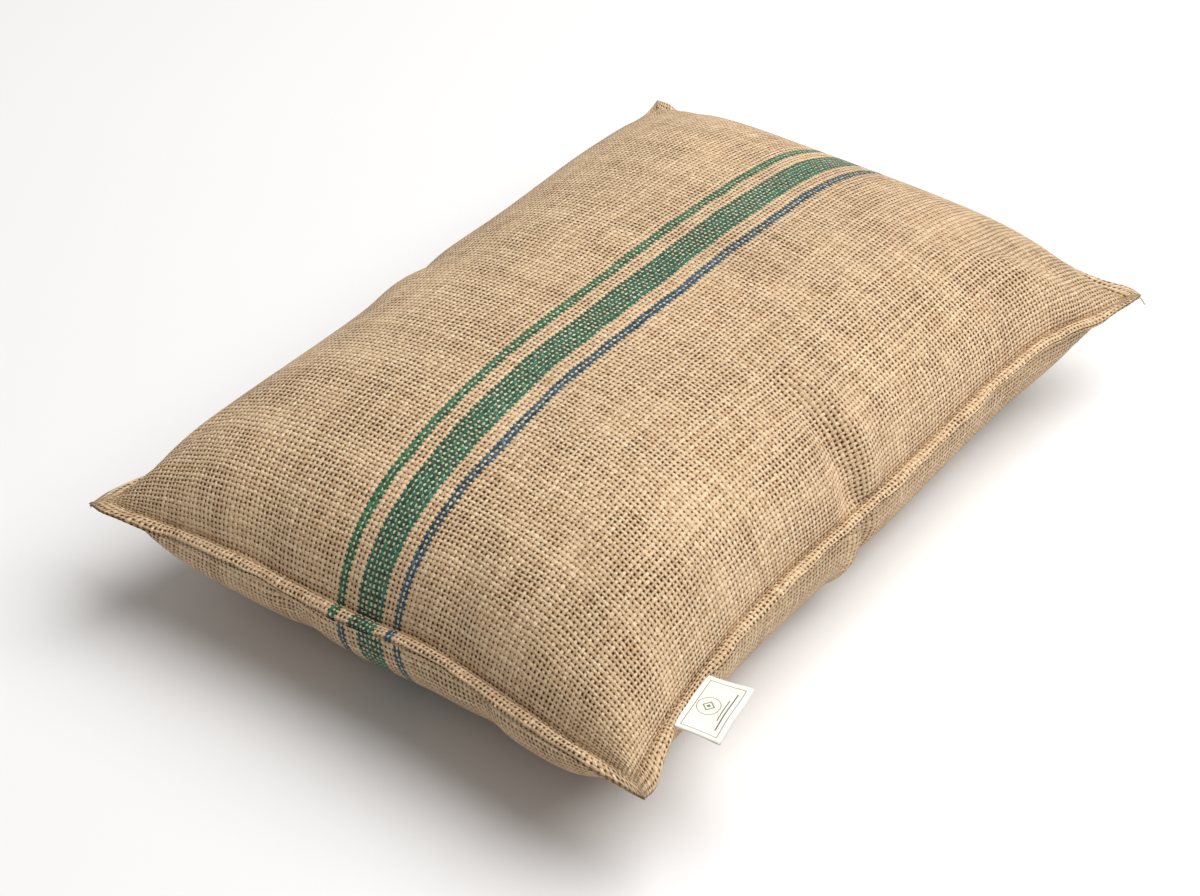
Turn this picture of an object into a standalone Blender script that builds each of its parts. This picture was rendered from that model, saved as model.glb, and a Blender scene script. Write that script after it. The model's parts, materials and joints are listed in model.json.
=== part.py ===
"""Stuffed jute sack cushion: a zipped hessian cover round a calico pad filled with fibre.

Frame: X runs across the width, Y along the length (the way the stripes run), Z up. The origin is the
middle of the flat patch that the cushion rests on. The front short edge is at -Y, and the zip is at +Y.
Each shell of the cushion is one height field over the same grid of stations (u, v), each from -1 to 1,
so that nested shells keep their clearance facet by facet.
"""

import math

import bmesh
import bpy
import numpy as np
from mathutils import Vector

# Cushion, in metres
CUSHION_WIDTH = 0.410  # corner tip to corner tip, across the stripes
CUSHION_LENGTH = 0.590  # corner tip to corner tip, along the stripes
SIDE_PULL = 0.025  # how far the middle of a long edge is drawn in
END_PULL = 0.012  # how far the middle of a short edge is drawn in
SEAM_HEIGHT = 0.078  # middle of the edge seam above the resting face
CROWN_RISE = 0.084  # top of the crown above the welt
BELLY_DROP = 0.108  # how far the belly would hang below the welt if nothing flattened it

# Cover
HESSIAN = 0.0012  # thickness of one ply
WELT_WIDTH = 0.009  # top-stitched edge outside the groove
ALLOWANCE = 0.0085  # ply turned in under the welt
THREAD = 0.0008  # sewing thread, as a solid cord
STITCH_INSET = 0.0015  # top-stitching outside the groove
CLEARANCE = 0.0003  # between pieces that touch

# Inner pad
CALICO = 0.0006  # thickness of the case
PAD_EASE = 0.0006  # extra room between the case and the side walls of the cover
PAD_CORNER_EASE = 0.004  # how far each inner layer stays back from the corners of the one outside it

# Label
LABEL_WIDTH = 0.045  # along the seam
LABEL_DROP = 0.027  # out of the seam
LABEL_THICKNESS = 0.0008  # two plies
LABEL_FROM_FRONT = 0.078  # middle of the label behind the front corner tips
LABEL_TAIL = 0.0055  # held in the seam, inside the closing thread

# Zip
ZIP_END_MARGIN = 0.072  # from the corner tips to the end of the zip
ZIP_STRAIGHT_END = 0.014  # straight stretch of edge past each end of the zip
LIP_CLOSES_IN = 0.020  # length over which the parted lips come together again
COIL_HEIGHT = 0.00175  # each half, across the zip
COIL_DEPTH = 0.0018  # front to back
COIL_RECESS = 0.0010  # coil behind the outer edge of the welt
COIL_GAP = 0.0003  # between the two halves
TAPE_THICKNESS = 0.0005
TAPE_WIDTH = 0.008
TAPE_OVERHANG = 0.006  # tape past the end of the coil
STOP_LENGTH = 0.002
STOP_PROUD = 0.0006  # stop in front of the coil
SLIDER_LENGTH = 0.009
SLIDER_HEIGHT = 0.0068
SLIDER_PLATE = 0.0010
BAIL_LENGTH = 0.0068
BAIL_WIDTH = 0.0016
BAIL_BAR = 0.0008
PULL_LENGTH = 0.018
PULL_WIDTH = 0.005
PULL_THICKNESS = 0.0008

# Shape of the outline and of the crown
SIDE_CURVE = 3.6  # power of the long edge's curve between two corners
END_CURVE = 2.2  # power of the front edge's curve
CROWN_CURVE = 3.2  # power that keeps the crown flat in the middle
CROWN_FULLNESS = 0.46  # under 0.5 gives steep sides
HALF_CELLS_INNER = 3  # grid cells from the middle to the end of the straight edge
EDGE_FRACTIONS = (0.4, 0.7, 0.9, 1.0)  # further stations towards the side seam
HALF_CELLS_LONG = 9  # grid cells from the middle to an end seam

# Values that follow from those above
WELT_PLIES = 2 * HESSIAN + CLEARANCE
HALF_GAP = THREAD / 2 + CLEARANCE  # from the seam's mid-plane to the turned-in ply
ZIP_HALF_GAP = COIL_GAP / 2 + COIL_HEIGHT + CLEARANCE
ZIP_LIFT = ZIP_HALF_GAP - HALF_GAP  # how far each lip moves off the mid-plane at the zip
WELT_FACE = HALF_GAP + WELT_PLIES  # outer face of the welt from the mid-plane
GROOVE_X = CUSHION_WIDTH / 2 - WELT_WIDTH
GROOVE_Y = CUSHION_LENGTH / 2 - WELT_WIDTH
ZIP_HALF = CUSHION_WIDTH / 2 - ZIP_END_MARGIN
STRAIGHT_HALF = ZIP_HALF + ZIP_STRAIGHT_END
STRAIGHT_SHARE = STRAIGHT_HALF / GROOVE_X
CASE_RIM_DROP = WELT_PLIES - CALICO  # from the face of the welt down to the rim of the case
CASE_FACE_MARGIN = HESSIAN + CLEARANCE
TAPE_REACH = COIL_RECESS + COIL_DEPTH + CLEARANCE + TAPE_WIDTH - WELT_WIDTH  # inside the groove
CASE_SIDE_MARGIN = max(HESSIAN, TAPE_REACH) + CLEARANCE + PAD_EASE
LAYER = CALICO + CLEARANCE  # from the outside of the case to the filling
ZIP_EDGE_Y = CUSHION_LENGTH / 2 - END_PULL  # outer edge of the welt along the zip
CLOSING_INSET = CLEARANCE + THREAD  # closing thread inside the outer edge of the welt
UP, DOWN = 1.0, -1.0


def clear_scene():
    """Removes the objects that Blender starts with."""
    for item in list(bpy.data.objects):
        bpy.data.objects.remove(item, do_unlink=True)


def finish(name, colour, roughness, metallic=0.0):
    """A Principled material with one colour."""
    material = bpy.data.materials.new(name)
    material.use_nodes = True
    shader = material.node_tree.nodes["Principled BSDF"]
    shader.inputs["Base Color"].default_value = (*colour, 1.0)
    shader.inputs["Roughness"].default_value = roughness
    shader.inputs["Metallic"].default_value = metallic
    material.diffuse_color = (*colour, 1.0)
    return material


def add_object(name, data, material, parent, location=(0.0, 0.0, 0.0)):
    """Puts mesh or curve data in the scene under its parent, at a place in the parent's frame."""
    item = bpy.data.objects.new(name, data)
    bpy.context.collection.objects.link(item)
    item.data.materials.append(material)
    item.parent = parent
    item.location = location
    return item


def add_pivot(name, location, parent=None):
    """An empty on the axis of a joint, or at the origin of the cushion."""
    item = bpy.data.objects.new(name, None)
    bpy.context.collection.objects.link(item)
    item.location = location
    item.parent = parent
    item.empty_display_size = 0.02
    return item


# --- the cushion's surface ---------------------------------------------------------------------


def stations_across():
    """Stations in u: even over the straight middle, then closer towards the side seam."""
    middle = [STRAIGHT_SHARE * k / HALF_CELLS_INNER for k in range(HALF_CELLS_INNER + 1)]
    outer = [STRAIGHT_SHARE + (1 - STRAIGHT_SHARE) * share for share in EDGE_FRACTIONS]
    half = np.array(middle + outer)
    return np.concatenate([-half[:0:-1], half])


def stations_along():
    """Stations in v: a sine spacing, so that cells are short beside the end seams."""
    half = np.sin(np.linspace(0, math.pi / 2, HALF_CELLS_LONG + 1))
    return np.concatenate([-half[:0:-1], half])


def plan(u, v, margin=0.0, layer=0):
    """Plan position of (u, v) on an outline that lies margin inside the groove.

    A long edge is drawn in by SIDE_PULL times 1 minus |v| to a power. The front edge is drawn in the
    same way, and the zip edge stays straight up to STRAIGHT_SHARE and then flares to the corner. Each
    layer further inside draws its corners back by PAD_CORNER_EASE times |uv| to a power.
    """
    margin = margin + layer * PAD_CORNER_EASE * np.abs(u * v) ** 3
    flare = np.clip((np.abs(u) - STRAIGHT_SHARE) / (1 - STRAIGHT_SHARE), 0, 1) ** 2
    front = np.abs(u) ** END_CURVE
    end_pull = END_PULL * (1 - np.where(v > 0, flare, front))
    x = u * (GROOVE_X - margin - SIDE_PULL * (1 - np.abs(v) ** SIDE_CURVE))
    y = v * (GROOVE_Y - margin - end_pull)
    return x, y


def fullness(u, v):
    """1 at the middle of the crown and 0 at the groove: product of two flat-topped curves, to a power."""
    across = 1 - np.abs(u) ** CROWN_CURVE
    along = 1 - np.abs(v) ** CROWN_CURVE
    return (across * along) ** CROWN_FULLNESS


def lip_lift(x, v):
    """How far a lip of the zip stands off the seam's mid-plane, beyond what the rest of the welt does."""
    over_zip = np.clip(1 - (np.abs(x) - STRAIGHT_HALF) / LIP_CLOSES_IN, 0, 1)
    return ZIP_LIFT * over_zip * np.clip((v - 0.97) / 0.03, 0, 1)


def skin(side, rim_drop=0.0, face_drop=0.0, margin=0.0, layer=0):
    """Grid of points, (across, along, 3), of the upper or lower skin of a nested shell.

    Height is the welt's face plus fullness times the crown (or minus fullness times the belly), moved
    towards the middle by rim_drop at the rim and by face_drop at the crown. Nothing goes below the
    plane that the cushion rests on, raised by face_drop.
    """
    u, v = np.meshgrid(stations_across(), stations_along(), indexing="ij")
    x, y = plan(u, v, margin, layer)
    full = fullness(u, v)
    drop = rim_drop + (face_drop - rim_drop) * full
    if side == UP:
        z = SEAM_HEIGHT + WELT_FACE + CROWN_RISE * full - drop
    else:
        z = np.maximum(SEAM_HEIGHT - WELT_FACE - BELLY_DROP * full + drop, face_drop)
    return np.stack([x, y, z], axis=-1)


def rim_indices(rows, columns):
    """(i, j) pairs once round the border of a grid, anticlockwise from above, from the front left."""
    front = [(i, 0) for i in range(rows - 1)]
    right = [(rows - 1, j) for j in range(columns - 1)]
    back = [(i, columns - 1) for i in range(rows - 1, 0, -1)]
    left = [(0, j) for j in range(columns - 1, 0, -1)]
    return front + right + back + left


def rim_path(offset):
    """Plan points round the groove, moved out by offset, and each one's v."""
    across, along = stations_across(), stations_along()
    points = []
    for i, j in rim_indices(len(across), len(along)):
        u, v = across[i], along[j]
        x, y = plan(u, v)
        out_x = math.copysign(offset, u) if abs(u) == 1 else 0.0
        out_y = math.copysign(offset, v) if abs(v) == 1 else 0.0
        points.append((float(x) + out_x, float(y) + out_y, v))
    return points


def grid_faces(rows, columns, first=0):
    """Two triangles a cell, split along the diagonal that points at the middle of the grid."""
    faces = []
    for i in range(rows - 1):
        for j in range(columns - 1):
            a = first + i * columns + j
            b, c, d = a + columns, a + columns + 1, a + 1
            same_sign = (2 * i + 2 - rows) * (2 * j + 2 - columns) > 0
            faces += [(a, b, c), (a, c, d)] if same_sign else [(a, b, d), (b, c, d)]
    return faces


def band_faces(inner, outer):
    """Triangles between two closed loops of vertex indices, outer round inner."""
    faces = []
    for k in range(len(inner)):
        n = (k + 1) % len(inner)
        faces += [(inner[k], outer[k], outer[n]), (inner[k], outer[n], inner[n])]
    return faces


def mesh_of(name, points, faces, flip=False):
    """A mesh from points and faces, with every face turned over if flip is set."""
    mesh = bpy.data.meshes.new(name)
    mesh.from_pydata([tuple(p) for p in points], [], [f[::-1] if flip else f for f in faces])
    mesh.validate()
    mesh.shade_smooth()
    mesh.set_sharp_from_angle(angle=math.radians(40))
    return mesh


def thicken(item, thickness):
    """Gives a sheet its thickness towards its back."""
    wall = item.modifiers.new("Wall", "SOLIDIFY")
    wall.thickness = thickness
    wall.offset = -1.0
    wall.use_even_offset = True
    wall.use_quality_normals = True


def cover_panel(name, side, material, parent):
    """Half of the cover: the skin, the welt round it and the allowance turned in under the welt."""
    grid = skin(side)
    rows, columns = grid.shape[:2]
    _, v = np.meshgrid(stations_across(), stations_along(), indexing="ij")
    grid[..., 2] += side * lip_lift(grid[..., 0], v)
    points = list(grid.reshape(-1, 3))
    loops = [[i * columns + j for i, j in rim_indices(rows, columns)]]
    for offset, drop in (
        (WELT_WIDTH, 0.0),
        (WELT_WIDTH, WELT_PLIES),
        (WELT_WIDTH - ALLOWANCE, WELT_PLIES),
    ):
        level = SEAM_HEIGHT + side * (WELT_FACE - drop)
        loops.append(range(len(points), len(points) + len(loops[0])))
        points += [(x, y, level + side * lip_lift(x, v)) for x, y, v in rim_path(offset)]
    faces = grid_faces(rows, columns)
    for inner, outer in zip(loops, loops[1:]):
        faces += band_faces(inner, outer)
    mesh = mesh_of(name, points, faces, flip=side == DOWN)
    thicken(add_object(name, mesh, material, parent), HESSIAN)


def case_shell(name, side, material, parent):
    """Half of the calico case of the inner pad."""
    grid = skin(side, CASE_RIM_DROP, CASE_FACE_MARGIN, CASE_SIDE_MARGIN, layer=1)
    rows, columns = grid.shape[:2]
    mesh = mesh_of(name, grid.reshape(-1, 3), grid_faces(rows, columns), flip=side == DOWN)
    thicken(add_object(name, mesh, material, parent), CALICO)


def filling(name, material, parent):
    """The fibre: an upper and a lower skin that share their rim on the seam's mid-plane."""
    places = (WELT_FACE, CASE_FACE_MARGIN + LAYER, CASE_SIDE_MARGIN + LAYER)
    upper = skin(UP, *places, layer=2)
    lower = skin(DOWN, *places, layer=2)
    rows, columns = upper.shape[:2]
    count = rows * columns
    faces = grid_faces(rows, columns)
    faces += [f[::-1] for f in grid_faces(rows, columns, first=count)]
    mesh = mesh_of(name, np.concatenate([upper.reshape(-1, 3), lower.reshape(-1, 3)]), faces)
    body = bmesh.new()
    body.from_mesh(mesh)
    bmesh.ops.remove_doubles(body, verts=body.verts, dist=1e-6)
    body.to_mesh(mesh)
    body.free()
    add_object(name, mesh, material, parent)


# --- threads and label -------------------------------------------------------------------------


def thread(name, points, closed, material, parent):
    """A sewing thread as a slim cord through its points."""
    curve = bpy.data.curves.new(name, "CURVE")
    curve.dimensions = "3D"
    curve.bevel_depth = THREAD / 2
    curve.bevel_resolution = 0
    curve.use_fill_caps = not closed
    spline = curve.splines.new("POLY")
    spline.points.add(len(points) - 1)
    spline.points.foreach_set("co", [c for p in points for c in (*p, 1.0)])
    spline.use_cyclic_u = closed
    add_object(name, curve, material, parent)


def topstitch(name, side, material, parent):
    """Thread all the way round, lying on one face of the welt beside the groove."""
    level = WELT_FACE + CLEARANCE + THREAD / 2
    points = [
        (x, y, SEAM_HEIGHT + side * (level + lip_lift(x, v))) for x, y, v in rim_path(STITCH_INSET)
    ]
    thread(name, points, True, material, parent)


def closing_seam(name, material, parent):
    """Thread between the two panels at the fold of the welt, from one end of the zip to the other."""
    start = STRAIGHT_HALF - CLEARANCE
    path = rim_path(WELT_WIDTH - CLOSING_INSET)
    back_y = ZIP_EDGE_Y - CLOSING_INSET
    along_back = [k for k, (x, _, v) in enumerate(path) if v == 1 and abs(x) <= start + CLEARANCE]
    first, last = along_back[0], along_back[-1]
    turned = path[last + 1 :] + path[:first]
    points = [(-start, back_y, SEAM_HEIGHT)]
    points += [(x, y, SEAM_HEIGHT) for x, y, _ in turned]
    points += [(start, back_y, SEAM_HEIGHT)]
    thread(name, points, False, material, parent)


def case_seam(name, material, parent):
    """Thread that closes the calico case, all the way round between its two rims."""
    across, along = stations_across(), stations_along()
    points = []
    for i, j in rim_indices(len(across), len(along)):
        x, y = plan(across[i], along[j], CASE_SIDE_MARGIN, layer=1)
        points.append((float(x), float(y), SEAM_HEIGHT))
    thread(name, points, True, material, parent)


def edge_at(y):
    """Point on the outer edge of the welt, on the +X side, at this y."""
    along = stations_along()
    x, ys = plan(np.ones_like(along), along)
    ys += WELT_WIDTH * np.where(np.abs(along) == 1, along, 0)
    return Vector((float(np.interp(y, ys, x + WELT_WIDTH)), y, SEAM_HEIGHT))


def box_mesh(name, low, high, bevel=0.0):
    """A box between two corners, with its edges rounded off if bevel is set."""
    low, high = Vector(low), Vector(high)
    body = bmesh.new()
    bmesh.ops.create_cube(body, size=1.0)
    for vertex in body.verts:
        vertex.co = Vector(c * s for c, s in zip(vertex.co, high - low)) + (low + high) / 2
    if bevel:
        bmesh.ops.bevel(body, geom=body.edges[:], offset=bevel, segments=1, affect="EDGES")
    mesh = bpy.data.meshes.new(name)
    body.to_mesh(mesh)
    body.free()
    return mesh


def label(cloth, parent):
    """The folded label in two nodes: the flap, which bends at the seam, and the tail in the seam.

    Both are laid along the chord of the welt's edge behind the label, in the frame of a pivot there.
    """
    middle_y = -CUSHION_LENGTH / 2 + LABEL_FROM_FRONT
    front, back = edge_at(middle_y - LABEL_WIDTH / 2), edge_at(middle_y + LABEL_WIDTH / 2)
    along = (back - front).normalized()
    outward = along.cross(Vector((0, 0, 1)))
    half = LABEL_THICKNESS / 2
    pivot = add_pivot("label_hinge", (front + back) / 2 + outward * (CLEARANCE + half), parent)
    pivot.rotation_euler.z = math.atan2(outward.y, outward.x)
    low, high = (-half, -LABEL_WIDTH / 2, -half), (LABEL_DROP, LABEL_WIDTH / 2, half)
    flap = box_mesh("side_label_flap", low, high, bevel=half / 4)
    add_object("side_label_flap", flap, cloth, pivot)
    tail_end = -(half + CLEARANCE) - CLOSING_INSET - (THREAD + 2 * CLEARANCE)
    low, high = (tail_end - LABEL_TAIL, -LABEL_WIDTH / 2, -half), (tail_end, LABEL_WIDTH / 2, half)
    add_object("side_label_tail", box_mesh("side_label_tail", low, high), cloth, pivot)


# --- zip ---------------------------------------------------------------------------------------


def coil_levels(side):
    """Lowest and highest z of one half of the zip, from the seam's mid-plane."""
    ends = sorted((side * COIL_GAP / 2, side * (COIL_GAP / 2 + COIL_HEIGHT)))
    return SEAM_HEIGHT + ends[0], SEAM_HEIGHT + ends[1]


def zip_half(side, suffix, coil_finish, tape_finish, parent):
    """One coil, the tape behind it and the stop at the closed end."""
    low_z, high_z = coil_levels(side)
    front_y = ZIP_EDGE_Y - COIL_RECESS
    back_y = front_y - COIL_DEPTH
    coil_end = ZIP_HALF - STOP_LENGTH - CLEARANCE
    mesh = box_mesh("zip_coil", (-coil_end, back_y, low_z), (coil_end, front_y, high_z), bevel=0.0003)
    add_object("zip_coil_" + suffix, mesh, coil_finish, parent)
    tape_z = (high_z - TAPE_THICKNESS, high_z) if side == UP else (low_z, low_z + TAPE_THICKNESS)
    tape_end = ZIP_HALF + TAPE_OVERHANG
    low = (-tape_end, back_y - CLEARANCE - TAPE_WIDTH, tape_z[0])
    high = (tape_end, back_y - CLEARANCE, tape_z[1])
    add_object("zip_tape_" + suffix, box_mesh("zip_tape", low, high), tape_finish, parent)
    stop = box_mesh(
        "zip_top_stop",
        (ZIP_HALF - STOP_LENGTH, back_y, low_z),
        (ZIP_HALF, front_y + STOP_PROUD, high_z),
    )
    add_object("zip_top_stop_" + suffix, stop, coil_finish, parent)


def zip_bottom_stop(material, parent):
    """The clip across both coils at the end where the slider stops when the zip is open."""
    front_y = ZIP_EDGE_Y - COIL_RECESS
    low = (-ZIP_HALF, front_y - COIL_DEPTH, coil_levels(DOWN)[0])
    high = (-ZIP_HALF + STOP_LENGTH, front_y + STOP_PROUD, coil_levels(UP)[1])
    add_object("zip_bottom_stop", box_mesh("zip_bottom_stop", low, high), material, parent)


def join_solid(item, other):
    """Unites another object's solid with this one, and keeps the other as a hidden helper."""
    other.hide_render = True
    other.display_type = "WIRE"
    union = item.modifiers.new("Union", "BOOLEAN")
    union.operation = "UNION"
    union.object = other


def slider(material, pivot):
    """Plate over the lips, neck between them in front of the coil, and the bail for the pull.

    Places are from the middle of the slider, on the outer edge of the welt.
    """
    half = SLIDER_LENGTH / 2
    plate_low, plate_high = CLEARANCE, CLEARANCE + SLIDER_PLATE
    neck_z = ZIP_HALF_GAP - CLEARANCE
    plate = box_mesh(
        "zip_slider",
        (-half, plate_low, -SLIDER_HEIGHT / 2),
        (half, plate_high, SLIDER_HEIGHT / 2),
        bevel=SLIDER_PLATE / 4,
    )
    body = add_object("zip_slider", plate, material, pivot)
    overlap = SLIDER_PLATE / 2
    neck = box_mesh(
        "neck",
        (-half + overlap, -COIL_RECESS + CLEARANCE, -neck_z),
        (half - overlap, plate_low + overlap, neck_z),
    )
    join_solid(body, add_object("slider_neck_helper", neck, material, pivot))
    top = plate_high + 2 * CLEARANCE + PULL_THICKNESS + BAIL_BAR
    bail = box_mesh(
        "bail",
        (-BAIL_LENGTH / 2, plate_high - overlap, -BAIL_WIDTH / 2),
        (BAIL_LENGTH / 2, top, BAIL_WIDTH / 2),
    )
    window = box_mesh(
        "bail_window",
        (-BAIL_LENGTH / 2 + BAIL_BAR, plate_high, -BAIL_WIDTH),
        (BAIL_LENGTH / 2 - BAIL_BAR, top - BAIL_BAR, BAIL_WIDTH),
    )
    bail_item = add_object("slider_bail_helper", bail, material, pivot)
    cutter = add_object("bail_window_cutter", window, material, pivot)
    cutter.hide_render = True
    cutter.display_type = "WIRE"
    cut = bail_item.modifiers.new("Window", "BOOLEAN")
    cut.operation = "DIFFERENCE"
    cut.object = cutter
    join_solid(body, bail_item)


def pull_tab(material, hinge):
    """Flat tab whose eye goes round the bail. Its cross bar lies on the hinge axis, under the bail."""
    half = PULL_THICKNESS / 2
    arm_inner = BAIL_WIDTH / 2 + CLEARANCE
    eye_end = -(BAIL_LENGTH / 2 + 3 * CLEARANCE)
    arm_outer = max(PULL_WIDTH / 2, arm_inner + PULL_THICKNESS)
    outline = box_mesh("zip_pull_tab", (-PULL_LENGTH, -half, -arm_outer), (half, half, arm_outer))
    tab = add_object("zip_pull_tab", outline, material, hinge)
    eye = box_mesh("pull_eye", (eye_end, -PULL_THICKNESS, -arm_inner), (-half, PULL_THICKNESS, arm_inner))
    cutter = add_object("pull_eye_cutter", eye, material, hinge)
    cutter.hide_render = True
    cutter.display_type = "WIRE"
    cut = tab.modifiers.new("Eye", "BOOLEAN")
    cut.operation = "DIFFERENCE"
    cut.object = cutter


def build():
    """Makes every piece of the cushion."""
    clear_scene()
    hessian = finish("hessian", (0.52, 0.36, 0.20), 0.9)
    seam_thread = finish("seam_thread", (0.62, 0.47, 0.30), 0.8)
    calico = finish("calico", (0.80, 0.76, 0.66), 0.9)
    fibre = finish("fibre", (0.90, 0.90, 0.88), 0.95)
    label_cloth = finish("label_cloth", (0.86, 0.84, 0.78), 0.85)
    zip_tape = finish("zip_tape", (0.42, 0.31, 0.19), 0.85)
    zip_nylon = finish("zip_nylon", (0.40, 0.29, 0.17), 0.45)
    zip_metal = finish("zip_metal", (0.55, 0.45, 0.30), 0.35, metallic=1.0)

    cushion = add_pivot("cushion", (0, 0, 0))
    cover_panel("cover_top_panel", UP, hessian, cushion)
    cover_panel("cover_bottom_panel", DOWN, hessian, cushion)
    topstitch("topstitch_thread_upper", UP, seam_thread, cushion)
    topstitch("topstitch_thread_lower", DOWN, seam_thread, cushion)
    closing_seam("closing_seam_thread", seam_thread, cushion)
    label(label_cloth, cushion)

    case_shell("inner_case_top", UP, calico, cushion)
    case_shell("inner_case_bottom", DOWN, calico, cushion)
    case_seam("inner_case_seam_thread", calico, cushion)
    filling("fibre_filling", fibre, cushion)

    zip_half(UP, "upper", zip_nylon, zip_tape, cushion)
    zip_half(DOWN, "lower", zip_nylon, zip_tape, cushion)
    zip_bottom_stop(zip_metal, cushion)
    closed_x = ZIP_HALF - STOP_LENGTH - CLEARANCE - SLIDER_LENGTH / 2
    slider_place = add_pivot("zip_slider_travel", (closed_x, ZIP_EDGE_Y, SEAM_HEIGHT), cushion)
    slider(zip_metal, slider_place)
    hinge_y = CLEARANCE + SLIDER_PLATE + CLEARANCE + PULL_THICKNESS / 2
    pull_tab(zip_metal, add_pivot("zip_pull_hinge", (0, hinge_y, 0), slider_place))


build()
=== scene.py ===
"""Stuffed jute sack cushion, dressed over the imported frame.

X runs across the width, Y along the stripes towards the zip, and Z up, all in metres. The cover is
two rectangles of sacking sewn together in a groove; outside the groove each panel goes on as half
of a stitched welt. A place on the cloth is given by s, the distance across from the middle thread,
and t, the distance along from the middle pick, both measured on the flat cloth.
"""

import json
import logging
import math
from dataclasses import dataclass, field
from enum import Enum
from typing import Optional, Sequence, Union

import bpy
import numpy as np
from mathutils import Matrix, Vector


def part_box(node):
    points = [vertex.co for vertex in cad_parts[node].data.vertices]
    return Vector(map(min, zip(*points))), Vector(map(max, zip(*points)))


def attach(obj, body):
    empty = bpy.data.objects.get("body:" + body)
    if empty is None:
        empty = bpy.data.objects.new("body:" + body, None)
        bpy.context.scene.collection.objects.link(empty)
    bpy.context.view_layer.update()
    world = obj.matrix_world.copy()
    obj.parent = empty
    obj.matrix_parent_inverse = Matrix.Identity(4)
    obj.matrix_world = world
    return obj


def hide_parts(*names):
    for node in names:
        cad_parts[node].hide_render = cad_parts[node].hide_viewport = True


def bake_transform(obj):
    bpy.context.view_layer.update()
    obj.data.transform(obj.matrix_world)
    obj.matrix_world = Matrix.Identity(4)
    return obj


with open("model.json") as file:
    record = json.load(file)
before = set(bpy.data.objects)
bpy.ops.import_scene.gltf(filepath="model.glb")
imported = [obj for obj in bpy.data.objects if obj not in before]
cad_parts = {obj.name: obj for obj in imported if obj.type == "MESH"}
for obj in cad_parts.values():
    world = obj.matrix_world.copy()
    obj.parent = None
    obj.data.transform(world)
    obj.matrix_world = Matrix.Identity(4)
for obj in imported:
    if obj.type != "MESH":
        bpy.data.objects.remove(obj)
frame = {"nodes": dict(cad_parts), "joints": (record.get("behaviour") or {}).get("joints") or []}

log = logging.getLogger("cushion")

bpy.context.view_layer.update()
Array = np.ndarray
Value = Union[float, bpy.types.NodeSocket]
Colour = tuple[float, float, float]

CLOTH_MAP = "OFBake"  # UV map that carries a panel's flat cloth coordinates


class Side(Enum):
    """Which half of the cushion a panel is."""

    TOP = 1.0
    BOTTOM = -1.0


def tone(red: float, green: float, blue: float) -> Colour:
    """Turns a display colour into the linear one that shaders take.

    Args:
        red: Red from 0 to 255.
        green: Green from 0 to 255.
        blue: Blue from 0 to 255.

    Returns:
        The linear colour: ((c / 255 + 0.055) / 1.055) to the power 2.4, channel by channel.
    """
    return tuple(float(((c / 255 + 0.055) / 1.055) ** 2.4) for c in (red, green, blue))


def smooth(x: Array) -> Array:
    """Eased step of x clipped to 0..1: x squared times (3 - 2x)."""
    x = np.clip(x, 0.0, 1.0)
    return x * x * (3 - 2 * x)


def unit(v: Array) -> Array:
    """The vectors of v, each divided by its length."""
    return v / np.maximum(np.linalg.norm(v, axis=-1, keepdims=True), 1e-12)


def wave(x: Array, seed: int, shortest: float, longest: float, terms: int = 5) -> Array:
    """Smooth irregular wave along x, between about -1 and 1.

    It is the mean of sines whose wavelengths run from longest to shortest and whose phases come
    from the seed.

    Args:
        x: Distances along the line.
        seed: Seed of the phases.
        shortest: Shortest wavelength.
        longest: Longest wavelength.
        terms: Number of sines.

    Returns:
        An array of the shape of x.
    """
    phases = np.random.default_rng(seed).uniform(0, 2 * math.pi, terms)
    lengths = np.geomspace(longest, shortest, terms)
    return np.sin(2 * math.pi * np.asarray(x)[..., None] / lengths + phases).sum(-1) / terms * 1.5


def lay_mesh(
    name: str,
    points: Array,
    faces: Array,
    finish: Optional[bpy.types.Material] = None,
    uv: Optional[Array] = None,
    body: str = "cushion",
) -> bpy.types.Object:
    """Makes a smooth-shaded mesh object at the origin, riding on a body.

    Args:
        name: Name of the piece.
        points: Vertex places, (n, 3).
        faces: Vertex indices, (m, 4).
        finish: Its material, or none.
        uv: Map coordinate of each vertex, (n, 2), or none.
        body: The body that the piece rides on, or an empty string for none.

    Returns:
        The new object.
    """
    faces = np.asarray(faces, np.int32)
    mesh = bpy.data.meshes.new(name)
    mesh.vertices.add(len(points))
    mesh.vertices.foreach_set("co", np.asarray(points, np.float32).ravel())
    mesh.loops.add(faces.size)
    mesh.loops.foreach_set("vertex_index", faces.ravel())
    mesh.polygons.add(len(faces))
    mesh.polygons.foreach_set("loop_start", np.arange(0, faces.size, faces.shape[1], dtype=np.int32))
    mesh.update(calc_edges=True)
    if uv is not None:
        layer = mesh.uv_layers.new(name=CLOTH_MAP)
        layer.data.foreach_set("uv", np.asarray(uv, np.float32)[faces.ravel()].ravel())
    mesh.validate()
    mesh.shade_smooth()
    if finish:
        mesh.materials.append(finish)
    item = bpy.data.objects.new(name, mesh)
    bpy.context.scene.collection.objects.link(item)
    if body:
        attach(item, body)
    log.info("%s: %d points, %d faces", name, len(points), len(faces))
    return item


def add_ply(item: bpy.types.Object, thickness: float, offset: float) -> None:
    """Gives a sheet its thickness.

    Args:
        item: The sheet.
        thickness: Thickness of the ply.
        offset: -1 puts it all behind the faces, 0 half on each side.
    """
    wall = item.modifiers.new("Ply", "SOLIDIFY")
    wall.thickness, wall.offset = thickness, offset


def grid_faces(index: Array, flip: bool = False) -> Array:
    """Quads between neighbours in a two-way array of vertices.

    Args:
        index: Vertex indices, (rows, columns).
        flip: Turns the faces over.

    Returns:
        Vertex indices of the quads, (n, 4).
    """
    quads = np.stack([index[:-1, :-1], index[1:, :-1], index[1:, 1:], index[:-1, 1:]], -1)
    quads = quads.reshape(-1, 4)
    return quads[:, ::-1] if flip else quads


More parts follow.
